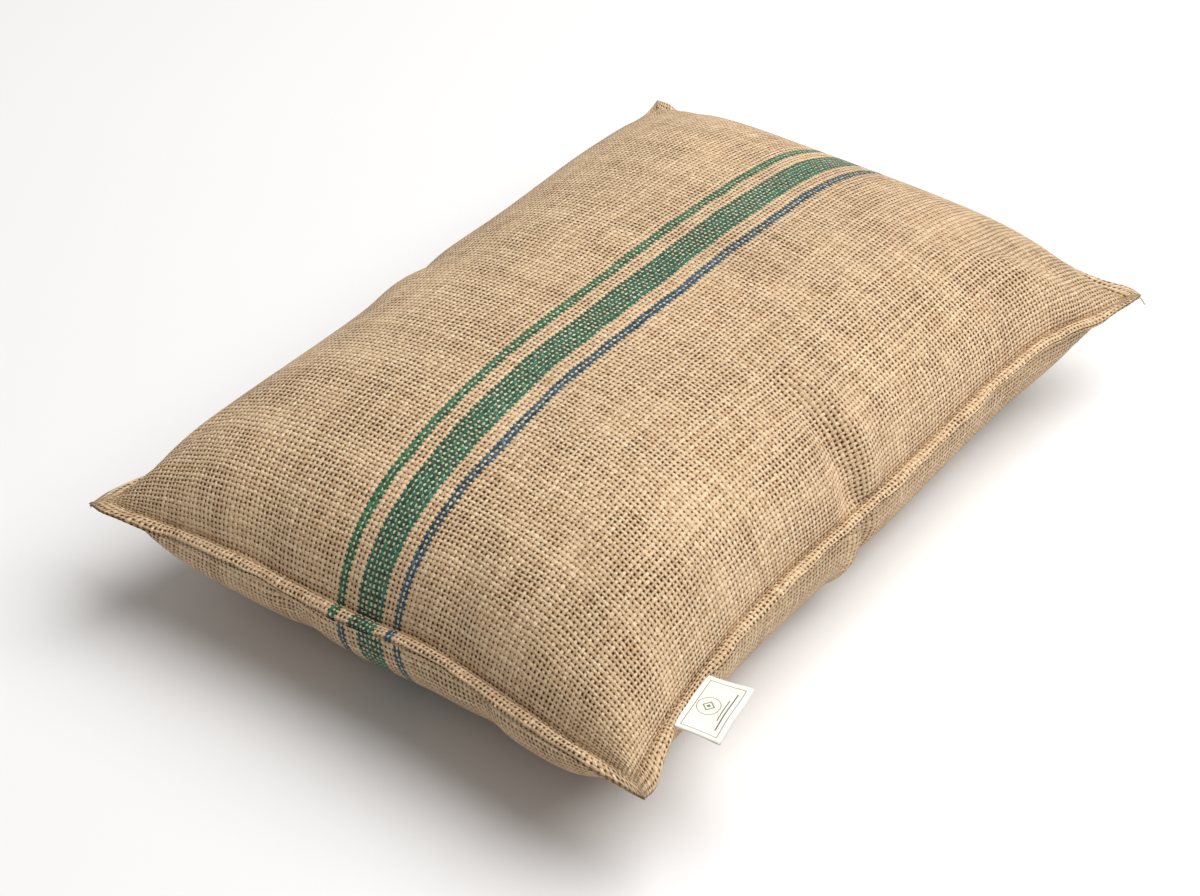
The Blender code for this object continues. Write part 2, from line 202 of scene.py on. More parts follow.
def loop_faces(index: Array, flip: bool = False) -> Array:
    """Quads of a band whose second way closes on itself, turned over if flip is set."""
    return grid_faces(np.concatenate([index, index[:, :1]], axis=1), flip)


def tubes(paths: Array, radii: Array, sides: int = 6) -> tuple[Array, Array]:
    """Round threads along many paths at once, closed with flat ends.

    A ring's point is the path's point plus radius times (cos a times one cross direction plus
    sin a times the other), where the cross directions are square to the path.

    Args:
        paths: Points of each path, (count, steps, 3).
        radii: Radius at each point, (count, steps).
        sides: Sides of the round.

    Returns:
        Points and quads; each end is closed by quads that share its first point.
    """
    count, steps = paths.shape[:2]
    along = unit(np.gradient(paths, axis=1))
    up = np.where(np.abs(along[..., 2:]) < 0.9, [0.0, 0.0, 1.0], [1.0, 0.0, 0.0])
    across = unit(np.cross(along, up))
    lift = np.cross(across, along)
    turn = np.arange(sides) / sides * 2 * math.pi
    ring = np.cos(turn)[:, None] * across[:, :, None] + np.sin(turn)[:, None] * lift[:, :, None]
    points = paths[:, :, None] + radii[:, :, None, None] * ring
    index = np.arange(count * steps * sides).reshape(count, steps, sides)
    closed = np.concatenate([index, index[:, :, :1]], axis=2)
    walls = np.stack([closed[:, :-1, :-1], closed[:, :-1, 1:], closed[:, 1:, 1:], closed[:, 1:, :-1]], -1)
    fan = np.array([(0, k, k + 1, k + 2) for k in range(1, sides - 1, 2)])
    caps = np.concatenate([index[:, 0][:, fan][..., ::-1], index[:, -1][:, fan]], axis=1)
    quads = np.concatenate([walls.reshape(-1, 4), caps.reshape(-1, 4)])[:, ::-1]
    return points.reshape(-1, 3), quads


# --- finishes ------------------------------------------------------------------------------------


@dataclass
class Sketch:
    """A material's nodes, written as calculations on sockets and numbers."""

    name: str
    material: bpy.types.Material = field(init=False)

    def __post_init__(self) -> None:
        """Starts the material with its standard shader."""
        self.material = bpy.data.materials.new(self.name)
        self.material.use_nodes = True
        self.tree = self.material.node_tree
        self.shader = self.tree.nodes["Principled BSDF"]

    def feed(self, socket: bpy.types.NodeSocket, value: Union[Value, Colour]) -> None:
        """Links a socket's value, or sets a plain one.

        Args:
            socket: The input to feed.
            value: Another node's output, a number or a colour.
        """
        if isinstance(value, bpy.types.NodeSocket):
            self.tree.links.new(value, socket)
        elif isinstance(value, tuple) and socket.type == "RGBA":
            socket.default_value = (*value, 1.0)
        else:
            socket.default_value = value

    def calc(self, operation: str, *values: Value) -> bpy.types.NodeSocket:
        """The result of one mathematical operation.

        Args:
            operation: Name of the Math node's operation.
            values: One to three values.

        Returns:
            The result.
        """
        node = self.tree.nodes.new("ShaderNodeMath")
        node.operation = operation
        for socket, value in zip(node.inputs, values):
            self.feed(socket, value)
        return node.outputs[0]

    def add(self, a: Value, b: Value) -> bpy.types.NodeSocket:
        """a plus b."""
        return self.calc("ADD", a, b)

    def times(self, a: Value, b: Value) -> bpy.types.NodeSocket:
        """a times b."""
        return self.calc("MULTIPLY", a, b)

    def vector(self, x: Value, y: Value, z: Value = 0.0) -> bpy.types.NodeSocket:
        """A vector from three values.

        Args:
            x: First value.
            y: Second value.
            z: Third value.

        Returns:
            The vector.
        """
        node = self.tree.nodes.new("ShaderNodeCombineXYZ")
        for socket, value in zip(node.inputs, (x, y, z)):
            self.feed(socket, value)
        return node.outputs[0]

    def parts(self, vector: bpy.types.NodeSocket) -> Sequence[bpy.types.NodeSocket]:
        """The three numbers of a vector.

        Args:
            vector: The vector.

        Returns:
            Outputs for x, y and z.
        """
        node = self.tree.nodes.new("ShaderNodeSeparateXYZ")
        self.feed(node.inputs[0], vector)
        return node.outputs

    def cloth(self) -> Sequence[bpy.types.NodeSocket]:
        """The cloth coordinates of the piece's own map.

        Returns:
            Outputs for u and v, each from 0 to 1, and for an unused third number.
        """
        node = self.tree.nodes.new("ShaderNodeUVMap")
        node.uv_map = CLOTH_MAP
        return self.parts(node.outputs[0])

    def place(self) -> bpy.types.NodeSocket:
        """The place on the object, in metres."""
        return self.tree.nodes.new("ShaderNodeTexCoord").outputs["Object"]

    def noise(
        self, where: Value, scale: float, detail: float = 2.0, rough: float = 0.5
    ) -> bpy.types.NodeSocket:
        """Cloudy noise between 0 and 1.

        Args:
            where: The place.
            scale: Clouds to a unit of the place.
            detail: Number of finer layers.
            rough: Strength of each finer layer.

        Returns:
            The noise.
        """
        node = self.tree.nodes.new("ShaderNodeTexNoise")
        node.inputs["Scale"].default_value = scale
        node.inputs["Detail"].default_value = detail
        node.inputs["Roughness"].default_value = rough
        self.feed(node.inputs["Vector"], where)
        return node.outputs["Fac"]

    def chance(self, where: Value) -> bpy.types.NodeSocket:
        """A random number for each place.

        Args:
            where: The place.

        Returns:
            The number, between 0 and 1.
        """
        node = self.tree.nodes.new("ShaderNodeTexWhiteNoise")
        self.feed(node.inputs["Vector"], where)
        return node.outputs["Value"]

    def span(
        self, value: Value, low: float, high: float, to: float = 0.0, end: float = 1.0
    ) -> bpy.types.NodeSocket:
        """Takes low..high to to..end with an eased, clipped step.

        Args:
            value: The value.
            low: Value that gives to.
            high: Value that gives end.
            to: Result at and below low.
            end: Result at and above high.

        Returns:
            The result.
        """
        node = self.tree.nodes.new("ShaderNodeMapRange")
        node.interpolation_type = "SMOOTHSTEP"
        ends = {"Value": value, "From Min": low, "From Max": high, "To Min": to, "To Max": end}
        for name, given in ends.items():
            self.feed(node.inputs[name], given)
        return node.outputs[0]

    def blend(
        self, share: Value, a: Union[Value, Colour], b: Union[Value, Colour]
    ) -> bpy.types.NodeSocket:
        """Colour a turned into b by a share.

        Args:
            share: 0 for a, 1 for b.
            a: First colour.
            b: Second colour.

        Returns:
            The mixed colour.
        """
        node = self.tree.nodes.new("ShaderNodeMix")
        node.data_type = "RGBA"
        self.feed(node.inputs[0], share)
        self.feed(node.inputs[6], a)
        self.feed(node.inputs[7], b)
        return node.outputs[2]

    def shade(self, colour: Union[Value, Colour], amount: Value) -> bpy.types.NodeSocket:
        """A colour multiplied by a number.

        Args:
            colour: The colour.
            amount: The number.

        Returns:
            The product.
        """
        node = self.tree.nodes.new("ShaderNodeVectorMath")
        node.operation = "SCALE"
        self.feed(node.inputs[0], colour)
        self.feed(node.inputs["Scale"], amount)
        return node.outputs[0]

    def bump(self, height: bpy.types.NodeSocket, depth: float, strength: float = 1.0) -> None:
        """Raises the surface by height times depth.

        Args:
            height: The height, without a unit.
            depth: Metres to a unit of height.
            strength: Share of the effect.
        """
        node = self.tree.nodes.new("ShaderNodeBump")
        node.inputs["Strength"].default_value = strength
        node.inputs["Distance"].default_value = depth
        self.feed(node.inputs["Height"], height)
        self.feed(self.shader.inputs["Normal"], node.outputs[0])

    def finish(self, colour: Union[Value, Colour], roughness: Value, **plain: float) -> bpy.types.Material:
        """Feeds the shader and hands the material over.

        Args:
            colour: Base colour.
            roughness: Roughness.
            plain: Plain values of other sockets, under their names with underlines.

        Returns:
            The material.
        """
        self.feed(self.shader.inputs["Base Color"], colour)
        self.feed(self.shader.inputs["Roughness"], roughness)
        for name, value in plain.items():
            self.shader.inputs[name.replace("_", " ").title().replace("Ior", "IOR")].default_value = value
        return self.material


@dataclass(frozen=True)
class Stripe:
    """A band of dyed warp threads: its first and last thread from the middle, and its two dyes."""

    first: int
    last: int
    dye: Colour
    worn: Colour


@dataclass(frozen=True)
class HessianFinish:
    """Open plain weave jute sacking with dyed stripes in the warp."""

    width: float
    length: float
    margin: float
    stripes: tuple[Stripe, ...]
    end_pitch: float = 0.0030
    pick_pitch: float = 0.00315
    pale: Colour = tone(255, 231, 193)
    warm: Colour = tone(174, 128, 82)
    # painted shade colour: the dark brown put into the weave's low parts and into its holes, where shade
    # falls
    painted_shade: Colour = tone(84, 54, 26)
    # height below which the painted shade in the weave's hollows begins
    painted_shade_level: float = 0.30

    def material(self) -> bpy.types.Material:
        """The weave.

        s and t count threads and picks. A warp thread's height is its wave, A (-1)^i sin(pi t),
        plus its round profile, sqrt(1 - (distance / half width)^2), and a weft thread's is the
        same with the wave turned over. The higher of the two shows, and where neither reaches
        there is a hole. Dyed threads are thicker, so less of the weft shows between them. Shade is
        painted into the colour: low parts of the threads are darkened by height towards a dark
        painted shade colour, and the holes are filled with that painted shade.
        there is a hole. Dyed threads are thicker, so less of the weft shows between them.

        Returns:
            The material.
        """
        k = Sketch("hessian_weave")
        u, v = k.cloth()[:2]
        x = k.add(k.times(u, self.width + 2 * self.margin), -self.width / 2 - self.margin)
        y = k.add(k.times(v, self.length + 2 * self.margin), -self.length / 2 - self.margin)
        flat = k.vector(x, y)
        warp_line, weft_line = k.vector(x, k.times(y, 0.35), 5.0), k.vector(k.times(x, 0.35), y, 4.0)
        drift = k.add(k.times(k.noise(flat, 20.0, 2.0), 1.5), k.times(k.noise(warp_line, 170.0, 1.0), 0.40))
        other = k.vector(x, y, 3.0)
        sway = k.add(k.times(k.noise(other, 24.0, 2.0), 1.6), k.times(k.noise(weft_line, 170.0, 1.0), 0.44))
        s = k.add(k.add(k.times(x, 1 / self.end_pitch), drift), -0.95)
        t = k.add(k.add(k.times(y, 1 / self.pick_pitch), sway), -1.02)
        end, pick = k.calc("FLOOR", s), k.calc("FLOOR", t)
        patches = k.noise(k.vector(x, y, 7.0), 26.0, 3.0, 0.6)
        tight = k.span(patches, 0.36, 0.66, -0.025, 0.060)

        def thread(number: Value, off: Value, run: Value, sign: float, seed: float) -> tuple[Value, Value]:
            """Height and tone of one family of threads.

            Args:
                number: Number of the thread.
                off: Distance from the middle of the thread, in threads.
                run: Distance along the thread, in threads of the other family.
                sign: 1 for warp, -1 for weft.
                seed: Keeps the two families' noises apart.

            Returns:
                The height, and the share of the pale tone.
            """
            slub = k.noise(k.vector(k.times(number, 3.7), k.times(run, 0.45), seed), 1.0, 2.0)
            grey = k.chance(k.vector(number, seed))
            half = k.add(k.add(k.times(slub, 0.32), k.times(grey, 0.08)), k.add(tight, 0.125))
            ratio = k.calc("DIVIDE", off, half)
            rise = k.calc("SUBTRACT", 1.0, k.times(ratio, ratio))
            round_top = k.calc("SQRT", k.calc("MAXIMUM", rise, 0.0))
            parity = k.calc("COSINE", k.times(number, math.pi))
            swing = k.times(k.times(parity, k.calc("SINE", k.times(run, math.pi))), sign * 0.40)
            outside = k.times(k.calc("LESS_THAN", rise, 0.0), -3.0)
            slant = k.add(k.times(run, 1.6), k.times(off, 1.8))
            streak = k.noise(k.vector(k.times(off, 6.0), slant, k.times(number, 1.9)), 1.0, 3.0, 0.65)
            height = k.add(k.add(swing, k.times(round_top, 0.6)), k.add(outside, k.times(streak, 0.22)))
            float_tone = k.chance(k.vector(number, k.calc("FLOOR", k.add(run, 0.5)), seed))
            slow = k.noise(k.vector(k.times(number, 5.3), k.times(run, 0.05), seed + 3.0), 1.0, 1.0)
            share = k.add(k.times(streak, 0.95), k.times(grey, 0.18))
            share = k.add(share, k.add(k.times(float_tone, 0.24), k.times(slow, 0.34)))
            return height, k.add(share, -0.37)

        off_s = k.add(k.calc("SUBTRACT", s, end), -0.5)
        off_t = k.add(k.calc("SUBTRACT", t, pick), -0.5)
        warp, warp_share = thread(end, off_s, t, 1.0, 1.0)
        weft, weft_share = thread(pick, off_t, s, -1.0, 9.0)
        weft_colour = k.blend(weft_share, self.warm, self.pale)
        warp_colour = k.blend(warp_share, self.warm, self.pale)
        dyed = 0.0
        for stripe in self.stripes:
            middle = (stripe.first + stripe.last) / 2
            near = k.calc("ABSOLUTE", k.add(end, -middle))
            inside = k.calc("LESS_THAN", near, (stripe.last - stripe.first) / 2 + 0.1)
            dye = k.blend(k.span(warp_share, 0.25, 0.85), stripe.dye, stripe.worn)
            warp_colour = k.blend(inside, warp_colour, dye)
            dyed = k.add(dyed, inside)
        warp = k.add(warp, k.times(dyed, 0.82))
        weft_colour = k.blend(k.times(dyed, 0.35), weft_colour, tone(186, 214, 190))
        warp_on_top = k.calc("GREATER_THAN", warp, weft)
        height = k.calc("MAXIMUM", k.calc("MAXIMUM", warp, weft), -0.45)
        colour = k.blend(warp_on_top, weft_colour, warp_colour)
        stain = k.noise(k.vector(x, y, 11.0), 7.0, 4.0, 0.6)
        colour = k.shade(colour, k.span(stain, 0.25, 0.75, 0.90, 1.06))
        # painted shade: the low edges of the threads and the dips where they cross are darkened, by height,
        # towards the painted shade colour
        painted_hollow_shade = k.span(height, self.painted_shade_level + 0.45, self.painted_shade_level - 0.15)
        colour = k.blend(k.times(painted_hollow_shade, 0.80), colour, k.blend(0.45, self.painted_shade, k.shade(colour, 0.6)))
        # painted shade in the holes: where no thread reaches, the colour is a darkened copy of the painted
        # shade colour, standing in for the shade inside the hole
        colour = k.blend(k.span(height, 0.05, -0.25), colour, k.shade(self.painted_shade, 0.62))
        fuzz = k.noise(k.vector(x, y, 2.0), 1500.0, 2.0, 0.7)
        colour = k.shade(colour, k.span(fuzz, 0.32, 0.68, 0.74, 1.20))
        k.bump(k.add(height, k.times(fuzz, 0.45)), 0.0013, 1.0)
        rough = k.span(height, -0.3, 0.9, 0.95, 0.74)
        return k.finish(colour, rough, sheen_weight=0.10, sheen_roughness=0.5, specular_ior_level=0.25)


@dataclass(frozen=True)
class YarnFinish:
    """Twisted sewing thread or loose fibre: stripes of light and dark that wind round it."""

    name: str
    light: Colour
    dark: Colour
    twist: float = 900.0
    depth: float = 0.00015

    def material(self) -> bpy.types.Material:
        """The twist is a sine of x + y + z times the twist, roughened with noise.

        Returns:
            The material.
        """
        k = Sketch(self.name)
        place = k.place()
        x, y, z = k.parts(place)[:3]
        ply = k.calc("SINE", k.times(k.add(k.add(x, y), z), self.twist * 2 * math.pi))
        fuzz = k.noise(place, self.twist * 1.7, 3.0)
        share = k.add(k.times(ply, 0.25), fuzz)
        colour = k.blend(k.span(share, 0.2, 0.8), self.dark, self.light)
        k.bump(share, self.depth)
        return k.finish(colour, k.span(fuzz, 0.2, 0.8, 0.9, 0.75), specular_ior_level=0.3)


@dataclass(frozen=True)
class FineWeaveFinish:
    """Close plain weave on the piece's object coordinates, such as calico or zip tape."""

    name: str
    light: Colour
    dark: Colour
    pitch: float = 0.0005

    def material(self) -> bpy.types.Material:
        """Height is the product of sines of x and y, and of y and z, over the thread pitch.

        Returns:
            The material.
        """
        k = Sketch(self.name)
        place = k.place()
        x, y, z = k.parts(place)[:3]
        rate = math.pi / self.pitch
        waves = [k.calc("SINE", k.times(c, rate)) for c in (x, y, z)]
        weave = k.add(k.times(waves[0], waves[1]), k.times(waves[1], waves[2]))
        slub = k.noise(place, 300.0, 3.0)
        share = k.add(k.times(weave, 0.2), slub)
        k.bump(share, 0.0002, 0.6)
        return k.finish(k.blend(k.span(share, 0.15, 0.85), self.dark, self.light), 0.9, sheen_weight=0.1)


@dataclass(frozen=True)
class FibreFinish:
    """Loose white filling fibre."""

    light: Colour = tone(240, 239, 234)
    dark: Colour = tone(198, 197, 190)

    def material(self) -> bpy.types.Material:
        """Fine tangled noise in colour and height.

        Returns:
            The material.
        """
        k = Sketch("filling_fibre")
        tangle = k.noise(k.place(), 260.0, 6.0, 0.7)
        k.bump(tangle, 0.0008)
        return k.finish(k.blend(tangle, self.dark, self.light), 0.95, sheen_weight=0.3)


@dataclass(frozen=True)
class NylonFinish:
    """Moulded brown nylon of the zip's coil."""

    light: Colour = tone(146, 112, 74)
    dark: Colour = tone(112, 82, 52)

    def material(self) -> bpy.types.Material:
        """Cloudy tone with a fine grain in the gloss.

        Returns:
            The material.
        """
        k = Sketch("zip_nylon")
        cloud = k.noise(k.place(), 420.0, 3.0)
        k.bump(cloud, 0.00005, 0.4)
        return k.finish(k.blend(cloud, self.dark, self.light), k.span(cloud, 0.2, 0.8, 0.5, 0.34))


@dataclass(frozen=True)
class BrassFinish:
    """Antique brass plate, brighter where it is rubbed."""

    light: Colour = tone(196, 160, 100)
    dark: Colour = tone(92, 68, 38)

    def material(self) -> bpy.types.Material:
        """Tarnish from cloudy noise, with fine scratches along z.

        Returns:
            The material.
        """
        k = Sketch("zip_brass")
        place = k.place()
        x, y, z = k.parts(place)[:3]
        tarnish = k.noise(place, 500.0, 4.0, 0.6)
        scratch = k.noise(k.vector(k.times(x, 9000.0), k.times(y, 9000.0), k.times(z, 700.0)), 1.0, 2.0)
        k.bump(scratch, 0.00003, 0.5)
        rough = k.add(k.span(tarnish, 0.3, 0.7, 0.55, 0.3), k.times(scratch, 0.08))
        return k.finish(k.blend(k.span(tarnish, 0.35, 0.65), self.dark, self.light), rough, metallic=1.0)


@dataclass(frozen=True)
class LabelFinish:
    """Off-white woven tape with a printed frame, a plain ring and a diamond in it."""

    width: float
    drop: float
    ground: Colour = tone(246, 244, 237)
    shadow: Colour = tone(222, 217, 204)
    ink: Colour = tone(62, 70, 64)
    leaf: Colour = tone(46, 104, 56)

    def material(self) -> bpy.types.Material:
        """Printed marks are bands of distance from a rectangle, a circle and a diamond.

        Returns:
            The material, on the label's own map: u along the seam and v away from it, each 0..1.
        """
        k = Sketch("label_tape")
        u, v = k.cloth()[:2]
        x = k.times(k.add(u, -0.5), self.width)
        y = k.times(k.add(v, -0.5), self.drop)
        ax, ay = k.calc("ABSOLUTE", x), k.calc("ABSOLUTE", y)
        fray = k.times(k.noise(k.vector(x, y), 2500.0, 2.0), 0.00012)

        def line(distance: Value, half: float) -> bpy.types.NodeSocket:
            """1 within half of a line, 0 away from it."""
            edge = k.add(k.calc("ABSOLUTE", distance), fray)
            return k.span(edge, half, half + 0.00012, 1.0, 0.0)

        border = k.calc(
            "MAXIMUM", k.add(ax, -(self.width / 2 - 0.0032)), k.add(ay, -(self.drop / 2 - 0.0026))
        )
        cy = k.add(y, 0.0030)
        acy = k.calc("ABSOLUTE", cy)
        radius = k.calc("SQRT", k.add(k.times(x, x), k.times(cy, cy)))
        ring = line(k.add(radius, -0.0068), 0.00022)
        diamond = line(k.add(k.add(ax, acy), -0.0034), 0.00055)
        core = k.span(k.add(ax, acy), 0.0013, 0.0015, 1.0, 0.0)
        bars = k.calc(
            "MAXIMUM",
            k.times(line(k.add(y, -0.0060), 0.00034), k.span(ax, 0.0085, 0.0087, 1.0, 0.0)),
            k.times(line(k.add(y, -0.0080), 0.00042), k.span(ax, 0.0150, 0.0152, 1.0, 0.0)),
        )
        threads = k.times(
            k.calc("SINE", k.times(x, math.pi / 0.00028)), k.calc("SINE", k.times(y, math.pi / 0.00028))
        )
        ground = k.blend(k.span(threads, -1.0, 1.0), self.shadow, self.ground)
        marks = k.calc("MAXIMUM", k.calc("MAXIMUM", line(border, 0.00022), ring), bars)
        colour = k.blend(k.times(marks, 0.88), ground, self.ink)
        colour = k.blend(k.times(k.calc("MAXIMUM", diamond, core), 0.85), colour, self.leaf)
        k.bump(threads, 0.00008, 0.5)
        return k.finish(colour, 0.82, sheen_weight=0.08)


@dataclass(frozen=True)
class PaperFinish:
    """Plain pale studio floor."""

    colour: Colour = tone(224, 224, 226)

    def material(self) -> bpy.types.Material:
        """One pale tone with hardly any mottling.

        Returns:
            The material.
        """
        k = Sketch("studio_floor")
        cloud = k.noise(k.place(), 3.0, 2.0)
        return k.finish(k.shade(self.colour, k.span(cloud, 0.0, 1.0, 0.985, 1.0)), 0.9)


# --- the stuffed form ----------------------------------------------------------------------------


@dataclass(frozen=True)
class Crease:
    """A fold across the cover, from a place near the seam towards the crown, in plan.

    The valley is -depth exp(-(d / width)^2) at a distance d from its line, and the ridge beside
    it is the same kind of bump, shift away.
    """

    start: tuple[float, float]
    end: tuple[float, float]
    depth: float
    width: float
    ridge: float = 0.0
    shift: float = 0.015

    def field(self, x: Array, y: Array) -> Array:
        """How far each place moves outwards along the cover's normal.

        Args:
            x: Places across.
            y: Places along.

        Returns:
            The moves, in metres.
        """
        ax, ay = self.start
        bx, by = self.end
        length = math.hypot(bx - ax, by - ay)
        ux, uy = (bx - ax) / length, (by - ay) / length
        along = ((x - ax) * ux + (y - ay) * uy) / length
        across = -(x - ax) * uy + (y - ay) * ux
        fade = smooth(along / 0.25 + 0.6) * smooth((1.15 - along) / 0.5)
        valley = -self.depth * np.exp(-((across / self.width) ** 2))
        crest = self.ridge * np.exp(-(((across - self.shift) / self.width) ** 2))
        return (valley + crest) * fade


@dataclass
class StuffedForm:
    """The two sewn panels after filling: a welded pair of cloth grids that share the groove."""

    width: float = 0.396  # flat cloth between the grooves
    length: float = 0.576
    groove_x: float = 0.196  # groove at a corner, from the middle
    groove_y: float = 0.286
    seam_height: float = 0.078
    side_pull: float = 0.025
    end_pull: float = 0.012
    side_curve: float = 3.9
    end_curve: float = 2.0
    zip_straight: float = 0.147  # half of the straight edge at the zip
    crown: float = 0.082
    belly: float = 0.106
    across_curve: float = 3.4
    along_curve: float = 3.05
    fullness: float = 0.440
    corner_lifts: tuple[float, float, float, float] = (-0.001, 0.0, -0.011, -0.002)
    cells_across: int = 70
    cells_along: int = 102
    pressure: float = 110.0
    frames: int = 18
    most_move: float = 0.007
    broad_share: float = 0.85
    broad_cells: int = 19
    scoops: tuple[float, float, float, float] = (0.40, 0.26, 0.48, 0.36)
    scoop_reach: float = 0.042
    bulge: float = 0.0065
    left_swell: float = 0.0060
    top_creases: tuple[Crease, ...] = (
        Crease((0.178, -0.022), (0.112, -0.030), 0.0058, 0.0100, 0.0042, -0.019),
        Crease((-0.178, -0.036), (-0.105, -0.030), 0.0020, 0.015, 0.0020, -0.022),
        Crease((-0.120, -0.016), (-0.040, -0.012), 0.0028, 0.013, 0.0015, 0.018),
        Crease((0.160, 0.250), (0.118, 0.190), 0.0050, 0.012, 0.0040, 0.020),
        Crease((-0.165, 0.235), (-0.120, 0.200), 0.0040, 0.014),
        Crease((-0.172, -0.262), (-0.140, -0.225), 0.0040, 0.011, 0.0020, 0.016),
        Crease((0.150, -0.265), (0.120, -0.225), 0.0030, 0.012),
        Crease((0.060, -0.285), (0.050, -0.235), 0.0020, 0.012),
        Crease((-0.090, -0.285), (-0.080, -0.240), 0.0025, 0.012),
    )
    bottom_creases: tuple[Crease, ...] = (
        Crease((0.177, -0.012), (0.150, -0.014), 0.0085, 0.0065, 0.0050, 0.012),
        Crease((-0.176, 0.060), (-0.150, 0.050), 0.0050, 0.010),
        Crease((-0.060, -0.283), (-0.055, -0.255), 0.0030, 0.010),
        Crease((0.080, -0.283), (0.085, -0.255), 0.0030, 0.010),
    )
    front_lift: tuple[tuple[float, float], ...] = (
        (-0.20, -0.006), (-0.165, -0.001), (-0.12, 0.002), (-0.06, 0.0), (-0.01, -0.001),
        (0.045, 0.0055), (0.09, 0.002), (0.14, -0.003), (0.18, -0.004), (0.20, 0.0),
    )
    right_lift: tuple[tuple[float, float], ...] = (
        (-0.29, 0.0), (-0.24, 0.0), (-0.185, 0.0005), (-0.155, 0.0035), (-0.11, 0.003),
        (-0.03, -0.002), (0.06, -0.0035), (0.13, 0.0), (0.195, 0.004), (0.26, -0.003), (0.29, 0.0),
    )
    left_lift: tuple[tuple[float, float], ...] = (
        (-0.29, 0.0), (-0.20, 0.002), (-0.10, -0.002), (-0.03, 0.003), (0.05, -0.001),
        (0.14, 0.003), (0.22, -0.002), (0.29, 0.0),
    )

    @staticmethod
    def at_corners(values: tuple[float, float, float, float], u: Array, v: Array) -> Array:
        """Spreads front right, front left, back right and back left values bilinearly."""
        shares = (1 + u) * (1 - v), (1 - u) * (1 - v), (1 + u) * (1 + v), (1 - u) * (1 + v)
        return sum(value * share for value, share in zip(values, shares)) / 4

    def outline(self, u: Array, v: Array) -> tuple[Array, Array]:
        """Plan of the groove's net: long edges and front drawn in between corners, zip edge straight.

        A long edge is drawn in by side_pull (1 - |v|^side_curve), the front edge by end_pull
        (1 - |u|^end_curve), and the zip edge by end_pull up to zip_straight, then flares out.

        Args:
            u: Place across the net, from -1 to 1.
            v: Place along the net, from -1 to 1.

        Returns:
            x and y.
        """
        flare = smooth((np.abs(u) * self.groove_x - self.zip_straight) / (self.groove_x - self.zip_straight))
        front = np.abs(u) ** self.end_curve
        x = u * (self.groove_x - self.side_pull * (1 - np.abs(v) ** self.side_curve))
        y = v * (self.groove_y - self.end_pull * (1 - np.where(v > 0, flare, front)))
        return x, y

    def seam(self, u: Array, v: Array, x: Array, y: Array) -> Array:
        """Height of the seam's mid-plane: corner lifts spread bilinearly, plus each edge's wander.

        Along the zip it is level.

        Args:
            u: Place across the net, from -1 to 1.
            v: Place along the net, from -1 to 1.
            x: Place across the cushion.
            y: Place along the cushion.

        Returns:
            The heights.
        """
        corner = self.at_corners(self.corner_lifts, u, v) * np.abs(u * v) ** 2.5

        def edge(stations: tuple[tuple[float, float], ...], where: Array) -> Array:
            """Smooth curve through a few stations: straight runs between them, then a running mean.

            Args:
                stations: Place and lift of each.
                where: Places to find the lift at.

            Returns:
                The lifts.
            """
            at, lift = np.array(stations).T
            fine = np.linspace(at[0], at[-1], 400)
            window = np.hanning(49)
            eased = np.convolve(np.pad(np.interp(fine, at, lift), 24, "edge"), window / window.sum(), "valid")
            return np.interp(where, fine, eased)

        share = np.abs(u) ** 5, np.abs(v) ** 5
        lift = np.where(u > 0, edge(self.right_lift, y), edge(self.left_lift, y)) * share[0]
        lift += np.where(v < 0, edge(self.front_lift, x), 0.0) * share[1] * (1 - share[0])
        at_zip = smooth((v - 0.80) / 0.18) * (1 - smooth((np.abs(x) - 0.141) / 0.040))
        return self.seam_height + (corner + lift) * (1 - at_zip)

    def surface(self, side: Side, u: Array, v: Array) -> Array:
        """Points of one panel over (u, v), each from -1 to 1.

        Height is the seam's plus crown times fullness, or minus belly times fullness eased off at
        the floor; fullness is ((1 - |u|^a)(1 - |v|^b)) to a power under a half, less a scoop that
        fades with the distance r from a corner as exp(-(r / reach)^2). The bottom panel's walls
        swell outwards under the welt.

        Args:
            side: Top or bottom.
            u: Place across the net.
            v: Place along the net.

        Returns:
            The points, (..., 3).
        """
        x, y = self.outline(u, v)
        full = (1 - np.abs(u) ** self.across_curve) * (1 - np.abs(v) ** self.along_curve)
        full = np.maximum(full, 0.0) ** self.fullness
        nearest = np.hypot(self.groove_x - np.abs(x), self.groove_y - np.abs(y))
        full = full * (1 - self.at_corners(self.scoops, u, v) * np.exp(-((nearest / self.scoop_reach) ** 2)))
        z = self.seam(u, v, x, y)
        if side is Side.TOP:
            swell = self.left_swell * smooth(full / 0.25) * smooth((1.0 - full) / 0.6) * smooth(-u / 0.6)
            return np.stack([x - swell, y, z + self.crown * (1 - 0.03 * v) * full], -1)
        ways = np.stack([np.sign(u) * np.abs(u) ** 9, np.sign(v) * np.abs(v) ** 9], -1)
        ways = ways / np.maximum(np.linalg.norm(ways, axis=-1, keepdims=True), 0.3)
        out = self.bulge * smooth(full / 0.20) * smooth((0.80 - full) / 0.55)
        zip_calm = 1 - 0.6 * smooth((v - 0.9) / 0.1)
        z = self.rest(z - self.belly * full)
        return np.stack([x + out * zip_calm * ways[..., 0], y + out * zip_calm * ways[..., 1], z], -1)

    @staticmethod
    def rest(z: Array) -> Array:
        """Eases heights off at the floor: half of z plus the root of z squared plus 4 mm squared."""
        return 0.5 * (z + np.sqrt(z * z + 0.004**2)) - 0.0006

